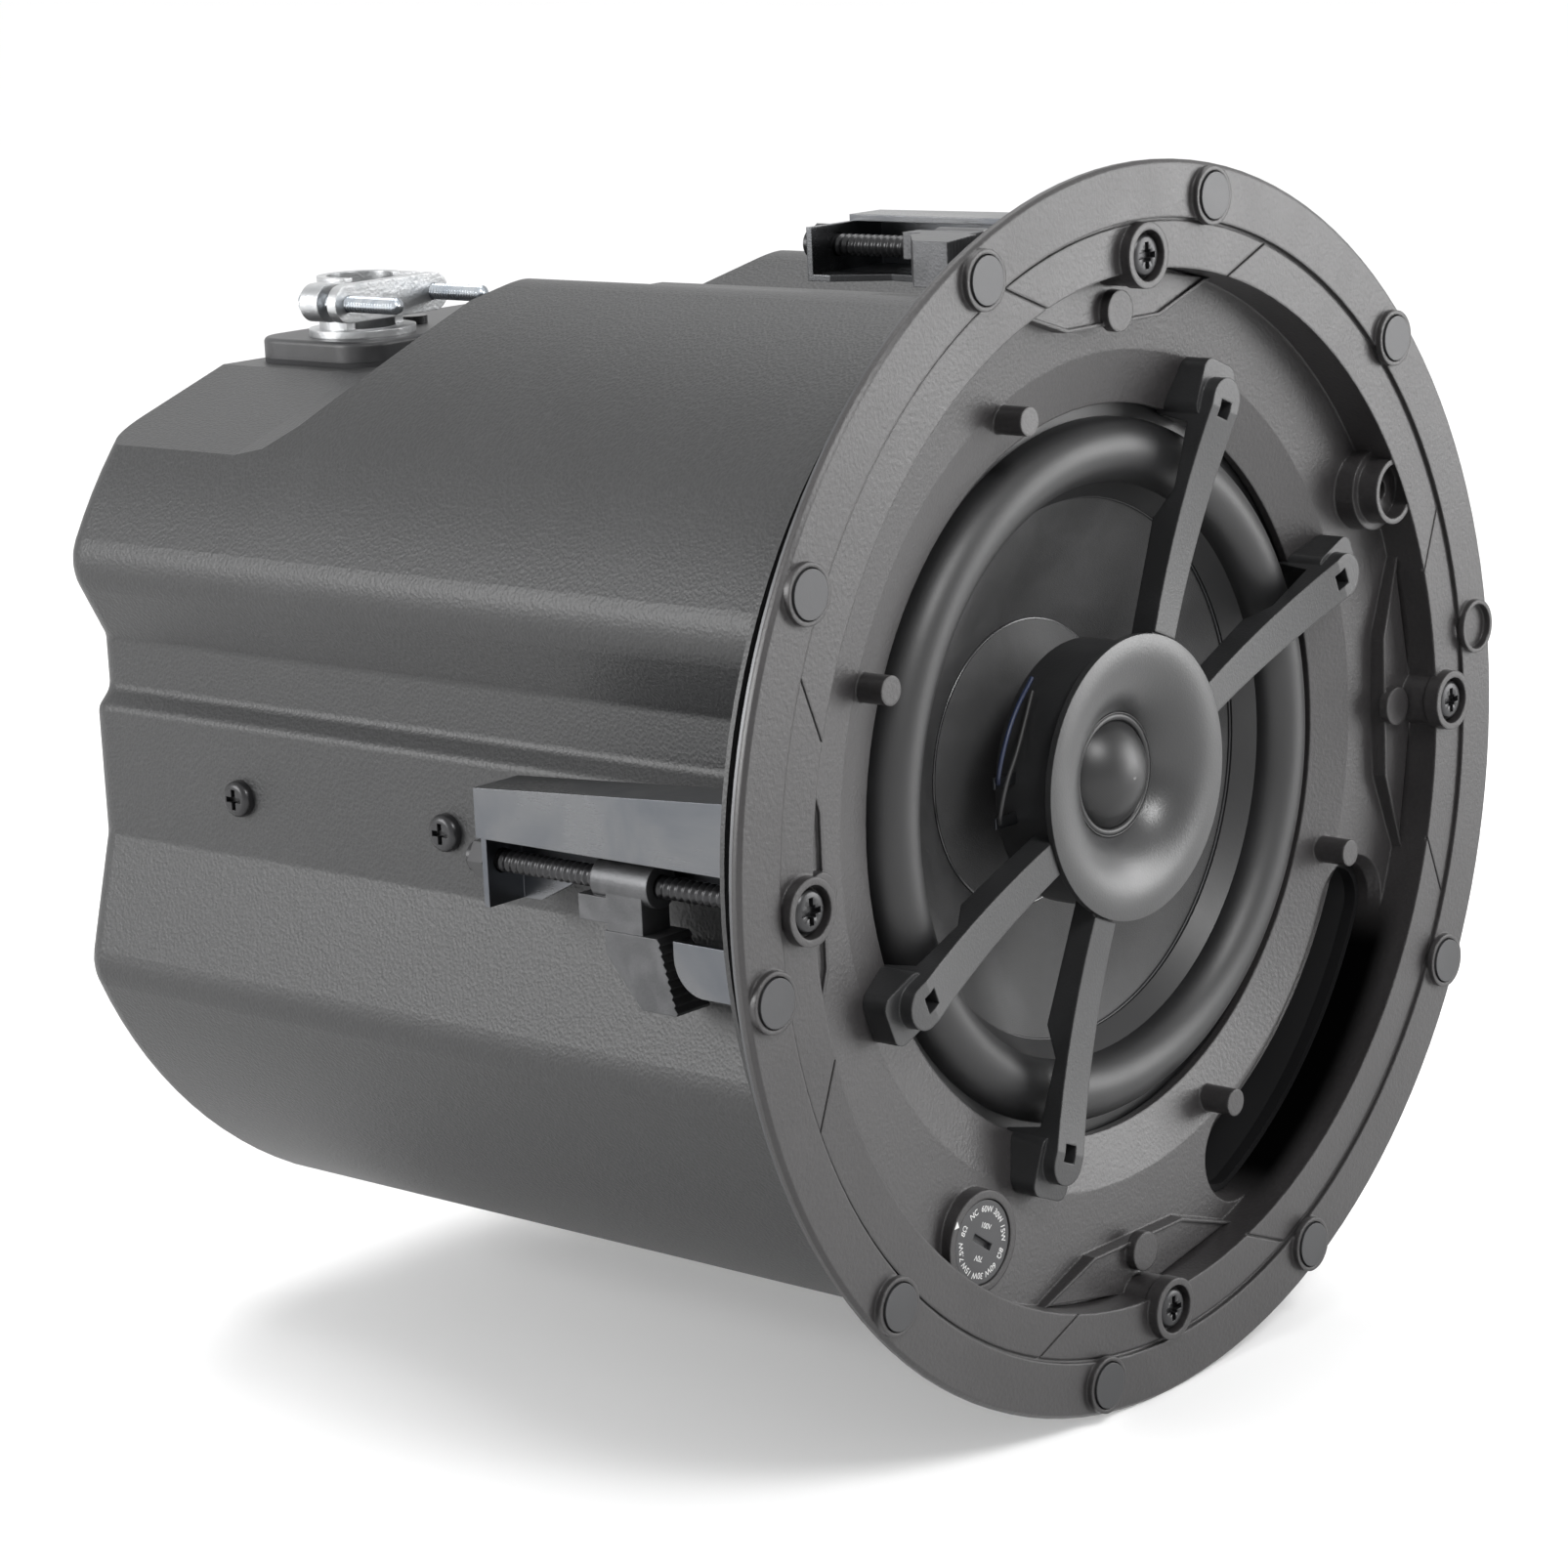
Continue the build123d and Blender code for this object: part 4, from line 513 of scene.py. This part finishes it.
    ink: Finish = Finish(
        "white_ink", (0.7, 0.7, 0.69), 0.5, Grain.SATIN, 0.2, 0.004,
        second=(0.6, 0.6, 0.6),
    )
    blue_wire: Finish = Finish(
        "blue_wire", (0.004, 0.012, 0.045), 0.45, Grain.RUBBER, 1.0, 0.02,
    )
    black_wire: Finish = Finish(
        "black_wire", (0.01, 0.01, 0.01), 0.55, Grain.RUBBER, 1.0, 0.02,
    )


def polar(radius: float, angle: float, centre: Spot = (0.0, 0.0)) -> Spot:
    """X and Z at a radius and an angle from +X towards +Z, in degrees."""
    turn = math.radians(angle)
    return (centre[0] + radius * math.cos(turn), centre[1] + radius * math.sin(turn))


class MeshKit:
    """Builds meshes from sizes in millimetres, already in their place in the frame."""

    @staticmethod
    def piece(
        name: str, verts: list[Point], faces: list[tuple[int, ...]], smooth: bool = True
    ) -> bpy.types.Object:
        """A mesh object from vertices in millimetres.

        Args:
            name: Name of the piece.
            verts: Vertices.
            faces: Faces as vertex numbers.
            smooth: Whether the faces are shaded smooth.

        Returns:
            The new object, linked to the scene.
        """
        mesh = bpy.data.meshes.new(name)
        mesh.from_pydata([tuple(value * MM for value in v) for v in verts], [], faces)
        mesh.validate()
        for polygon in mesh.polygons:
            polygon.use_smooth = smooth
        thing = bpy.data.objects.new(name, mesh)
        bpy.context.scene.collection.objects.link(thing)
        return thing

    @staticmethod
    def lathe(name: str, profile: list[Spot], centre: Spot, steps: int = 48) -> bpy.types.Object:
        """A closed body turned about a line along Y.

        Args:
            name: Name of the piece.
            profile: Radius and depth of each point of its outline.
            centre: X and Z of the line.
            steps: Faces round it.

        Returns:
            The body, capped at both ends unless its outline closes on itself.
        """
        verts: list[Point] = []
        for radius, depth in profile:
            for step in range(steps):
                x, z = polar(radius, 360 * step / steps, centre)
                verts.append((x, depth, z))
        faces = []
        count = len(profile)
        for ring in range(count - 1):
            for step in range(steps):
                after = (step + 1) % steps
                faces.append(
                    (ring * steps + step, ring * steps + after,
                     (ring + 1) * steps + after, (ring + 1) * steps + step)
                )
        if profile[0] == profile[-1]:
            return MeshKit.piece(name, verts, faces)
        faces.append(tuple(range(steps - 1, -1, -1)))
        faces.append(tuple((count - 1) * steps + step for step in range(steps)))
        return MeshKit.piece(name, verts, faces)

    @staticmethod
    def ring(
        name: str, radius: float, thick: float, depth: float, centre: Spot, steps: int = 128
    ) -> bpy.types.Object:
        """A ring of round section about a line along Y.

        Args:
            name: Name of the piece.
            radius: Radius of the ring.
            thick: Radius of its section.
            depth: Depth of its middle.
            centre: X and Z of the line.
            steps: Faces round it.

        Returns:
            The ring.
        """
        sides = 12
        profile = [polar(thick, 360 * side / sides, (radius, depth)) for side in range(sides)]
        return MeshKit.lathe(name, [*profile, profile[0]], centre, steps)

    @staticmethod
    def threaded_rod(
        name: str, centre: Spot, span: Spot, root: float, crest: float, pitch: float
    ) -> bpy.types.Object:
        """A rod along Y with one continuous thread.

        Args:
            name: Name of the piece.
            centre: X and Z of its axis.
            span: Depths of its ends.
            root: Radius at the thread's root.
            crest: Radius at the crest.
            pitch: Advance in one turn.

        Returns:
            The rod.
        """
        steps = 20
        core_steps = 24
        chamfer = 0.6
        shape = (
            (root, -0.5), (root, -0.36), (crest, -0.12), (crest, 0.12), (root, 0.36), (root, 0.5),
        )
        turns = (span[1] - span[0]) / pitch - 1
        verts: list[Point] = []
        rows = int(turns * steps) + 1
        for row in range(rows):
            depth = span[0] + pitch * (0.5 + row / steps)
            for radius, offset in shape:
                x, z = polar(radius, 360 * row / steps, centre)
                verts.append((x, depth + offset * pitch, z))
        wide = len(shape)
        faces = []
        for row in range(rows - 1):
            for point in range(wide - 1):
                start = row * wide + point
                faces.append((start, start + wide, start + wide + 1, start + 1))
        rod = MeshKit.piece(name, verts, faces)
        outline = [(root, span[0]), (root, span[1] - chamfer), (root - chamfer, span[1])]
        core = MeshKit.lathe(name + "_core", outline, centre, core_steps)
        return MeshKit.joined(rod, core)

    @staticmethod
    def joined(*things: bpy.types.Object) -> bpy.types.Object:
        """All things as one mesh, under the first one's name."""
        body = bmesh.new()
        for thing in things:
            body.from_mesh(thing.data)
        first = things[0]
        body.to_mesh(first.data)
        body.free()
        for polygon in first.data.polygons:
            polygon.use_smooth = True
        for thing in things[1:]:
            bpy.data.objects.remove(thing)
        return first

    @staticmethod
    def cut(thing: bpy.types.Object, tool: bpy.types.Object) -> bpy.types.Object:
        """Thing with tool's volume taken out of it; tool is used up."""
        modifier = thing.modifiers.new("cut", "BOOLEAN")
        modifier.operation = "DIFFERENCE"
        modifier.solver = "EXACT"
        modifier.object = tool
        bpy.context.view_layer.update()
        evaluated = thing.evaluated_get(bpy.context.evaluated_depsgraph_get())
        mesh = bpy.data.meshes.new_from_object(evaluated)
        thing.modifiers.clear()
        thing.data = mesh
        bpy.data.objects.remove(tool)
        return thing

    @staticmethod
    def box(name: str, low: Point, high: Point) -> bpy.types.Object:
        """A box between two corners."""
        verts = list(product(*zip(low, high)))
        faces = [
            (0, 1, 3, 2), (4, 6, 7, 5), (0, 4, 5, 1), (2, 3, 7, 6), (0, 2, 6, 4), (1, 5, 7, 3),
        ]
        return MeshKit.piece(name, verts, faces, smooth=False)

    @staticmethod
    def solid(source: bpy.types.Object, name: str) -> bpy.types.Object:
        """A mesh object of that name in place of a curve or text, which is used up."""
        bpy.context.scene.collection.objects.link(source)
        bpy.context.view_layer.update()
        evaluated = source.evaluated_get(bpy.context.evaluated_depsgraph_get())
        mesh = bpy.data.meshes.new_from_object(evaluated)
        mesh.transform(source.matrix_world)
        bpy.data.objects.remove(source)
        thing = bpy.data.objects.new(name, mesh)
        bpy.context.scene.collection.objects.link(thing)
        return thing

    @staticmethod
    def tube(name: str, points: list[Point], radius: float) -> bpy.types.Object:
        """A smooth round wire through the points."""
        curve = bpy.data.curves.new(name, "CURVE")
        curve.dimensions = "3D"
        curve.bevel_depth = radius * MM
        curve.bevel_resolution = 4
        spline = curve.splines.new("BEZIER")
        spline.bezier_points.add(len(points) - 1)
        for knot, point in zip(spline.bezier_points, points):
            knot.co = Vector(point) * MM
            knot.handle_left_type = knot.handle_right_type = "AUTO"
        curve.use_fill_caps = True
        return MeshKit.solid(bpy.data.objects.new(name + "_path", curve), name)

    @staticmethod
    def words(
        name: str, text: str, size: float, spot: Spot, turn: float, depth: float
    ) -> bpy.types.Object:
        """Flat lettering that faces the listener.

        Args:
            name: Name of the piece.
            text: What it says.
            size: Height of the letters in millimetres.
            spot: X and Z of its middle.
            turn: Angle of its reading direction, from +X towards +Z, in degrees.
            depth: Depth of the face it is printed on.

        Returns:
            The lettering as a mesh.
        """
        curve = bpy.data.curves.new(name, "FONT")
        curve.body = text
        curve.size = size * MM
        curve.align_x = "CENTER"
        curve.align_y = "CENTER"
        curve.extrude = INK_THICK * MM
        source = bpy.data.objects.new(name + "_type", curve)
        upright = Matrix.Rotation(math.radians(90), 4, "X")
        turned = Matrix.Rotation(-math.radians(turn), 4, "Y")
        moved = Matrix.Translation(Vector((spot[0], depth - INK_LIFT, spot[1])) * MM)
        source.matrix_world = moved @ turned @ upright
        return MeshKit.solid(source, name)


def dress(thing: bpy.types.Object, finish: Finish, body: str) -> bpy.types.Object:
    """Gives a piece its finish and ties it to a CAD body.

    Args:
        thing: The piece.
        finish: Its finish.
        body: The body that it moves with.

    Returns:
        The same piece.
    """
    thing.data.materials.clear()
    thing.data.materials.append(finish.material())
    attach(thing, body)
    log.info("piece %s: %s, on %s", thing.name, finish.name, body)
    return thing


@dataclass
class CadSkin:
    """Finishes of the CAD nodes."""

    palette: Palette

    def finishes(self) -> dict[str, Finish]:
        """Finish of every CAD node."""
        p = self.palette
        table = {
            "baffle": p.baffle, "tweeter_bridge": p.bridge, "tweeter_waveguide": p.flare,
            "port_duct": p.duct, "back_can": p.can, "mounting_ring": p.ring,
            "rim_gasket": p.gasket, "can_gasket": p.gasket, "cover_gasket": p.gasket,
            "grille_magnets": p.magnet, "selector_dial": p.nylon, "selector_switch": p.nylon,
            "woofer_basket": p.painted, "woofer_screws": p.black_steel, "woofer_surround": p.rubber,
            "woofer_cone": p.paper, "woofer_dust_cap": p.cap, "woofer_voice_coil": p.copper,
            "woofer_spider": p.cloth, "woofer_top_plate": p.steel, "woofer_magnet": p.ferrite,
            "woofer_yoke": p.steel, "tweeter_terminals": p.bracket, "tweeter_dome": p.dome,
            "tweeter_coil": p.copper, "tweeter_plate": p.steel, "tweeter_magnet": p.ferrite,
            "tweeter_yoke": p.steel, "transformer_frame": p.steel,
            "transformer_core": p.laminations, "transformer_coil": p.copper,
            "side_screws": p.black_steel, "board_posts": p.nylon,
            "crossover_board": p.board, "inductor": p.copper, "capacitors": p.sleeve,
            "wadding": p.fibre, "terminal_cover": p.nylon, "cover_screws": p.black_steel,
            "terminal_block": p.terminal, "cable_clamp_body": p.zinc, "cable_clamp_saddle": p.zinc,
            "squeeze_screws": p.zinc_screw, "locknut": p.zinc,
        }
        for number in range(1, 5):
            table[f"clamp_bracket_{number}"] = p.bracket
            table[f"clamp_screw_{number}"] = p.black_steel
            table[f"clamp_dog_{number}"] = p.cast
            table[f"clamp_nut_{number}"] = p.black_steel
        return table

    def build(self) -> None:
        """Dresses every CAD node."""
        table = self.finishes()
        for name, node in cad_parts.items():
            node.data.materials.clear()
            node.data.materials.append(table[name].material())
            log.info("CAD node %s: %s", name, table[name].name)


@dataclass
class ClampScrews:
    """The four long screws with their cut threads and cross-slotted heads, in millimetres.

    Attributes:
        palette: The finishes.
        span: Depths of the ends of each thread.
        root: Radius at the thread's root.
        crest: Radius at its crest.
        pitch: Its advance in one turn.
        steps: Faces round a head.
        outline: Radius and depth of the points of a head's outline.
        recess: Half sizes along X and Z of the boxes that cut its cross.
        recess_floor: Depth of the cross's floor.
        recess_top: Depth at which those boxes end in front of the head.
        edge: Width of the head's softened edges.
    """

    palette: Palette
    span: Spot = (-2.6, 90.4)
    root: float = 2.0
    crest: float = 2.48
    pitch: float = 1.9
    steps: int = 40
    outline: tuple[Spot, ...] = (
        (0.3, -4.95), (3.0, -4.95), (4.0, -4.75), (4.5, -4.3), (4.68, -3.7), (4.68, -2.42),
        (0.3, -2.42),
    )
    recess: tuple[Spot, ...] = ((2.9, 0.62), (0.62, 2.9), (1.3, 1.3))
    recess_floor: float = -3.4
    recess_top: float = -6.0
    edge: float = 0.12

    def head(self, name: str, centre: Spot) -> bpy.types.Object:
        """A pan head with a cross recess."""
        head = MeshKit.lathe(name, list(self.outline), centre, self.steps)
        x, z = centre
        for wide, tall in self.recess:
            low = (x - wide, self.recess_top, z - tall)
            high = (x + wide, self.recess_floor, z + tall)
            head = MeshKit.cut(head, MeshKit.box("tool", low, high))
        return head

    def build(self) -> None:
        """Builds the screws and lets them stand for the CAD ones."""
        for number in range(1, 5):
            centre = polar(CLAMP_CIRCLE, 90 + 90 * number)
            name = f"clamp_screw_thread_{number}"
            rod = MeshKit.threaded_rod(name, centre, self.span, self.root, self.crest, self.pitch)
            head = self.head(f"clamp_screw_head_{number}", centre)
            screw = f"clamp_screw_{number}"
            dress(rod, self.palette.black_steel, screw)
            dress(head, self.palette.black_steel, screw)
            head.modifiers.new("edges", "BEVEL").width = self.edge * MM
            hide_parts(screw)


@dataclass
class SqueezeScrews:
    """The two bright screws of the cable clamp, in millimetres.

    Attributes:
        palette: The finishes.
        spots: X of each screw.
        height: Z of both.
        span: Depths of the ends of each thread.
        root: Radius at the thread's root.
        crest: Radius at its crest.
        pitch: Its advance in one turn.
        steps: Faces round a head.
        outline: Radius and depth of the points of a head's outline.
        slot_half: Half sizes along X and Z of the slot.
        slot_span: Depths between which the slot is cut.
    """

    palette: Palette
    spots: tuple[float, ...] = (-47.25, -18.75)
    height: float = 107.0
    span: Spot = (178.6, 208.2)
    root: float = 1.55
    crest: float = 1.98
    pitch: float = 0.9
    steps: int = 32
    outline: tuple[Spot, ...] = (
        (0.3, 208.0), (3.35, 208.0), (3.38, 209.4), (2.9, 210.3), (1.6, 210.58), (0.3, 210.58),
    )
    slot_half: Spot = (4.0, 0.5)
    slot_span: Spot = (209.5, 212.0)

    def build(self) -> None:
        """Builds both screws in place of the CAD ones."""
        for number, x in enumerate(self.spots, start=1):
            centre = (x, self.height)
            name = f"squeeze_thread_{number}"
            rod = MeshKit.threaded_rod(name, centre, self.span, self.root, self.crest, self.pitch)
            name = f"squeeze_head_{number}"
            head = MeshKit.lathe(name, list(self.outline), centre, self.steps)
            long, wide = self.slot_half
            low = (x - long, self.slot_span[0], self.height - wide)
            high = (x + long, self.slot_span[1], self.height + wide)
            head = MeshKit.cut(head, MeshKit.box("tool", low, high))
            dress(rod, self.palette.zinc_screw, "cabinet")
            dress(head, self.palette.zinc_screw, "cabinet")
        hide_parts("squeeze_screws")


@dataclass
class DialMarks:
    """White lettering of the tap selector and the pointer beside it, in millimetres.

    Attributes:
        palette: The finishes.
        first: Taps of one half of the dial, from the pointer on.
        second: Taps of the other half.
        step: Angle from one tap to the next.
        tap_size: Height of the taps' type.
        tap_radius: Distance of the taps from the middle.
        volts: Name, text and angle from the pointer of the word over each half.
        volts_size: Height of these words' type.
        volts_radius: Their distance from the middle.
        pointer_span: Radius of the pointer's tip and of its foot.
        pointer_half: Half the angle that its foot takes.
        pointer_depths: Depths of its two faces.
    """

    palette: Palette
    first: tuple[str, ...] = ("8Ω", "NC", "60W", "30W", "15W")
    second: tuple[str, ...] = ("8Ω", "60W", "30W", "15W", "7.5W")
    step: float = 36.0
    tap_size: float = 2.0
    tap_radius: float = 7.3
    volts: tuple[tuple[str, str, float], ...] = (
        ("dial_volts_high", "100V", -80.0), ("dial_volts_low", "70V", 100.0),
    )
    volts_size: float = 1.8
    volts_radius: float = 3.6
    pointer_span: Spot = (9.9, 11.3)
    pointer_half: float = 5.0
    pointer_depths: Spot = (4.585, 4.6)

    def mark(self, name: str, text: str, size: float, radius: float, angle: float) -> None:
        """Prints one word on the dial face, reading outwards.

        Args:
            name: Name of the piece.
            text: The word.
            size: Height of its type.
            radius: Distance from the middle of the dial.
            angle: Where it stands, from +X towards +Z.
        """
        spot = polar(radius, angle, DIAL)
        word = MeshKit.words(name, text, size, spot, angle - 90, DIAL_FACE)
        dress(word, self.palette.ink, "dial")

    def build(self) -> None:
        """Prints the dial and the pointer beside it."""
        rows = (("a", self.first, POINTER_ANGLE), ("b", self.second, POINTER_ANGLE - 180))
        for letter, row, start in rows:
            for number, text in enumerate(row):
                angle = start - self.step * number
                name = f"dial_mark_{letter}{number}"
                self.mark(name, text, self.tap_size, self.tap_radius, angle)
        for name, text, offset in self.volts:
            angle = POINTER_ANGLE + offset
            self.mark(name, text, self.volts_size, self.volts_radius, angle)
        tip = polar(self.pointer_span[0], POINTER_ANGLE, DIAL)
        left = polar(self.pointer_span[1], POINTER_ANGLE + self.pointer_half, DIAL)
        right = polar(self.pointer_span[1], POINTER_ANGLE - self.pointer_half, DIAL)
        corners = [(x, y, z) for y in self.pointer_depths for x, z in (tip, left, right)]
        faces = [(0, 1, 2), (5, 4, 3), (0, 3, 4, 1), (1, 4, 5, 2), (2, 5, 3, 0)]
        pointer = MeshKit.piece("dial_pointer", corners, faces, smooth=False)
        dress(pointer, self.palette.ink, "cabinet")


@dataclass
class DriverDetails:
    """Small parts of woofer and tweeter: glue lines and lead wires, in millimetres.

    Attributes:
        palette: The finishes.
        lead_radius: Radius of a wire.
        lead_side: Distance of each wire from the middle of the tags.
    """

    palette: Palette
    lead_radius: float = 0.5
    lead_side: float = 4.5

    def rings(self) -> None:
        """Builds the glue lines and the lip of the dome."""
        # Name, radius, section, depth, faces round it, finish, body
        table = (
            ("cap_glue_line", 33.0, 0.38, 34.0, 128, self.palette.glue, "cone"),
            ("surround_glue_line", 61.6, 0.35, 20.4, 128, self.palette.seam, "cone"),
            ("dome_lip", 13.95, 0.22, 8.75, 96, self.palette.rubber, "cabinet"),
        )
        for name, radius, thick, depth, steps, finish, body in table:
            dress(MeshKit.ring(name, radius, thick, depth, DRIVER, steps), finish, body)

    def leads(self) -> None:
        """Builds the two wires from the tweeter's tags into its housing."""
        x, z = DRIVER
        wires = (
            ("tweeter_lead_blue", self.palette.blue_wire, self.lead_side),
            ("tweeter_lead_black", self.palette.black_wire, -self.lead_side),
        )
        for name, finish, side in wires:
            points = [
                (x - 36.2, 13.2, z + side),
                (x - 37.5, 12.0, z + side + 2),
                (x - 35.5, 11.4, z + side + 9),
                (x - 30.6, 12.2, z + side + 15),
                (x - 22.0, 14.0, z + 24 + side / 3),
            ]
            dress(MeshKit.tube(name, points, self.lead_radius), finish, "cabinet")

    def build(self) -> None:
        """Builds all of them."""
        self.rings()
        self.leads()


@dataclass
class Studio:
    """Floor, light and camera, in metres.

    Attributes:
        ambient: Strength of the sky's light.
        floor_reach: Half the floor's length.
        floor_tones: Grey of the floor for indirect light, and where it is seen.
        floor_glow: Light that it gives off where it is seen.
        floor_mottle: How much its tone wanders.
        floor_patch: Size of the mottling in millimetres.
        softboxes: Name, place, aim, size and watts of each softbox.
        sun_way: Where the overhead light goes.
        sun_strength: Its power per square metre.
        sun_spread: The angle that it fills, in degrees.
        lens: Focal length of the camera in millimetres.
        sensor: Width of its sensor in millimetres.
        clip: Nearest and farthest distance that it sees.
        camera_spot: Where it stands.
        camera_axes: Right, down and forward as it sees them.
    """

    ambient: float = 0.6
    floor_reach: float = 30.0
    floor_tones: Spot = (0.4, 0.88)
    floor_glow: float = 0.1
    floor_mottle: float = 0.04
    floor_patch: float = 400.0
    softboxes: tuple[tuple[str, Point, Point, float, float], ...] = (
        ("window_left", (-1.6, 1.1, 0.6), (0, 0.1, 0), 0.9, 32),
        ("window_front", (-0.4, -1.4, 1.4), (0, 0, 0), 0.6, 24),
        ("low_right", (1.3, -1.1, 0.3), (0, 0, 0), 0.9, 20),
    )
    sun_way: Point = (-0.3, -0.25, -0.92)
    sun_strength: float = 1.4
    sun_spread: float = 38.0
    lens: float = 98.66
    sensor: float = 36.0
    clip: Spot = (0.05, 50.0)
    camera_spot: Point = (-0.7531, -0.55562, 0.21331)
    camera_axes: tuple[Point, Point, Point] = (
        (0.65203, -0.75691, -0.04396),
        (-0.19265, -0.10932, -0.97516),
        (0.73331, 0.64431, -0.21709),
    )

    def light(self, name: str, spot: Point, aim: Point, size: float, power: float) -> None:
        """Hangs one square softbox.

        Args:
            name: Name of the lamp.
            spot: Where it stands.
            aim: The point that it faces.
            size: Length of its side.
            power: Its power in watts.
        """
        lamp = bpy.data.lights.new(name, "AREA")
        lamp.shape = "SQUARE"
        lamp.size = size
        lamp.energy = power
        holder = bpy.data.objects.new(name, lamp)
        holder.location = spot
        holder.rotation_euler = (Vector(aim) - Vector(spot)).to_track_quat("-Z", "Y").to_euler()
        bpy.context.scene.collection.objects.link(holder)

    def sun(self) -> None:
        """Adds one broad overhead light."""
        lamp = bpy.data.lights.new("overhead", "SUN")
        lamp.energy = self.sun_strength
        lamp.angle = math.radians(self.sun_spread)
        holder = bpy.data.objects.new("overhead", lamp)
        holder.rotation_euler = Vector(self.sun_way).to_track_quat("-Z", "Y").to_euler()
        bpy.context.scene.collection.objects.link(holder)

    def sky(self) -> None:
        """Adds even white light all round, which shows as full white itself."""
        world = bpy.data.worlds.new("studio")
        bpy.context.scene.world = world
        graph = Graph(world)
        strength = graph.shown() * (1 - self.ambient) + self.ambient
        settings = {"Color": (1.0, 1.0, 1.0, 1.0), "Strength": strength}
        background = graph.node("ShaderNodeBackground", None, settings)
        graph.node("ShaderNodeOutputWorld", None, {"Surface": background.outputs[0]})

    def floor(self) -> None:
        """Lays a plain pale floor, lifted to white only where it is seen."""
        low = FIRST_BOUNDS[0][2] / MM
        reach = self.floor_reach / MM
        corners = [
            (-reach, -reach, low), (reach, -reach, low), (reach, reach, low), (-reach, reach, low),
        ]
        plane = MeshKit.piece("floor", corners, [(0, 1, 2, 3)], smooth=False)
        material = bpy.data.materials.new("floor_white")
        graph = Graph(material)
        tone = graph.noise(self.floor_patch, 2)
        shown = graph.shown()
        dark, light = ((value,) * 3 for value in self.floor_tones)
        lift = (shown - tone * self.floor_mottle).held()
        graph.surface(
            {
                "Base Color": graph.blend(dark, light, lift),
                "Roughness": 0.8,
                "Specular IOR Level": 0.2,
                "Emission Color": graph.blend((0.0, 0.0, 0.0), (self.floor_glow,) * 3, shown),
                "Emission Strength": 1.0,
            }
        )
        plane.data.materials.append(material)

    def camera(self) -> None:
        """Stands the camera where the photo was taken from."""
        data = bpy.data.cameras.new("camera")
        data.lens = self.lens
        data.sensor_width = self.sensor
        data.clip_start, data.clip_end = self.clip
        holder = bpy.data.objects.new("camera", data)
        right, down, forward = (Vector(axis) for axis in self.camera_axes)
        turn = Matrix((right, -down, -forward)).transposed().to_4x4()
        holder.matrix_world = Matrix.Translation(self.camera_spot) @ turn
        bpy.context.scene.collection.objects.link(holder)
        bpy.context.scene.camera = holder

    def build(self) -> None:
        """Sets the studio up."""
        bpy.context.scene.view_settings.view_transform = "Standard"
        self.sky()
        self.sun()
        for box in self.softboxes:
            self.light(*box)
        self.floor()
        self.camera()
        log.info("studio ready")


def main() -> None:
    """Builds the loudspeaker's looks in order."""
    logging.basicConfig(level=logging.INFO)
    palette = Palette()
    CadSkin(palette).build()
    ClampScrews(palette).build()
    SqueezeScrews(palette).build()
    DialMarks(palette).build()
    DriverDetails(palette).build()
    Studio().build()


if __name__ == "__main__":
    main()
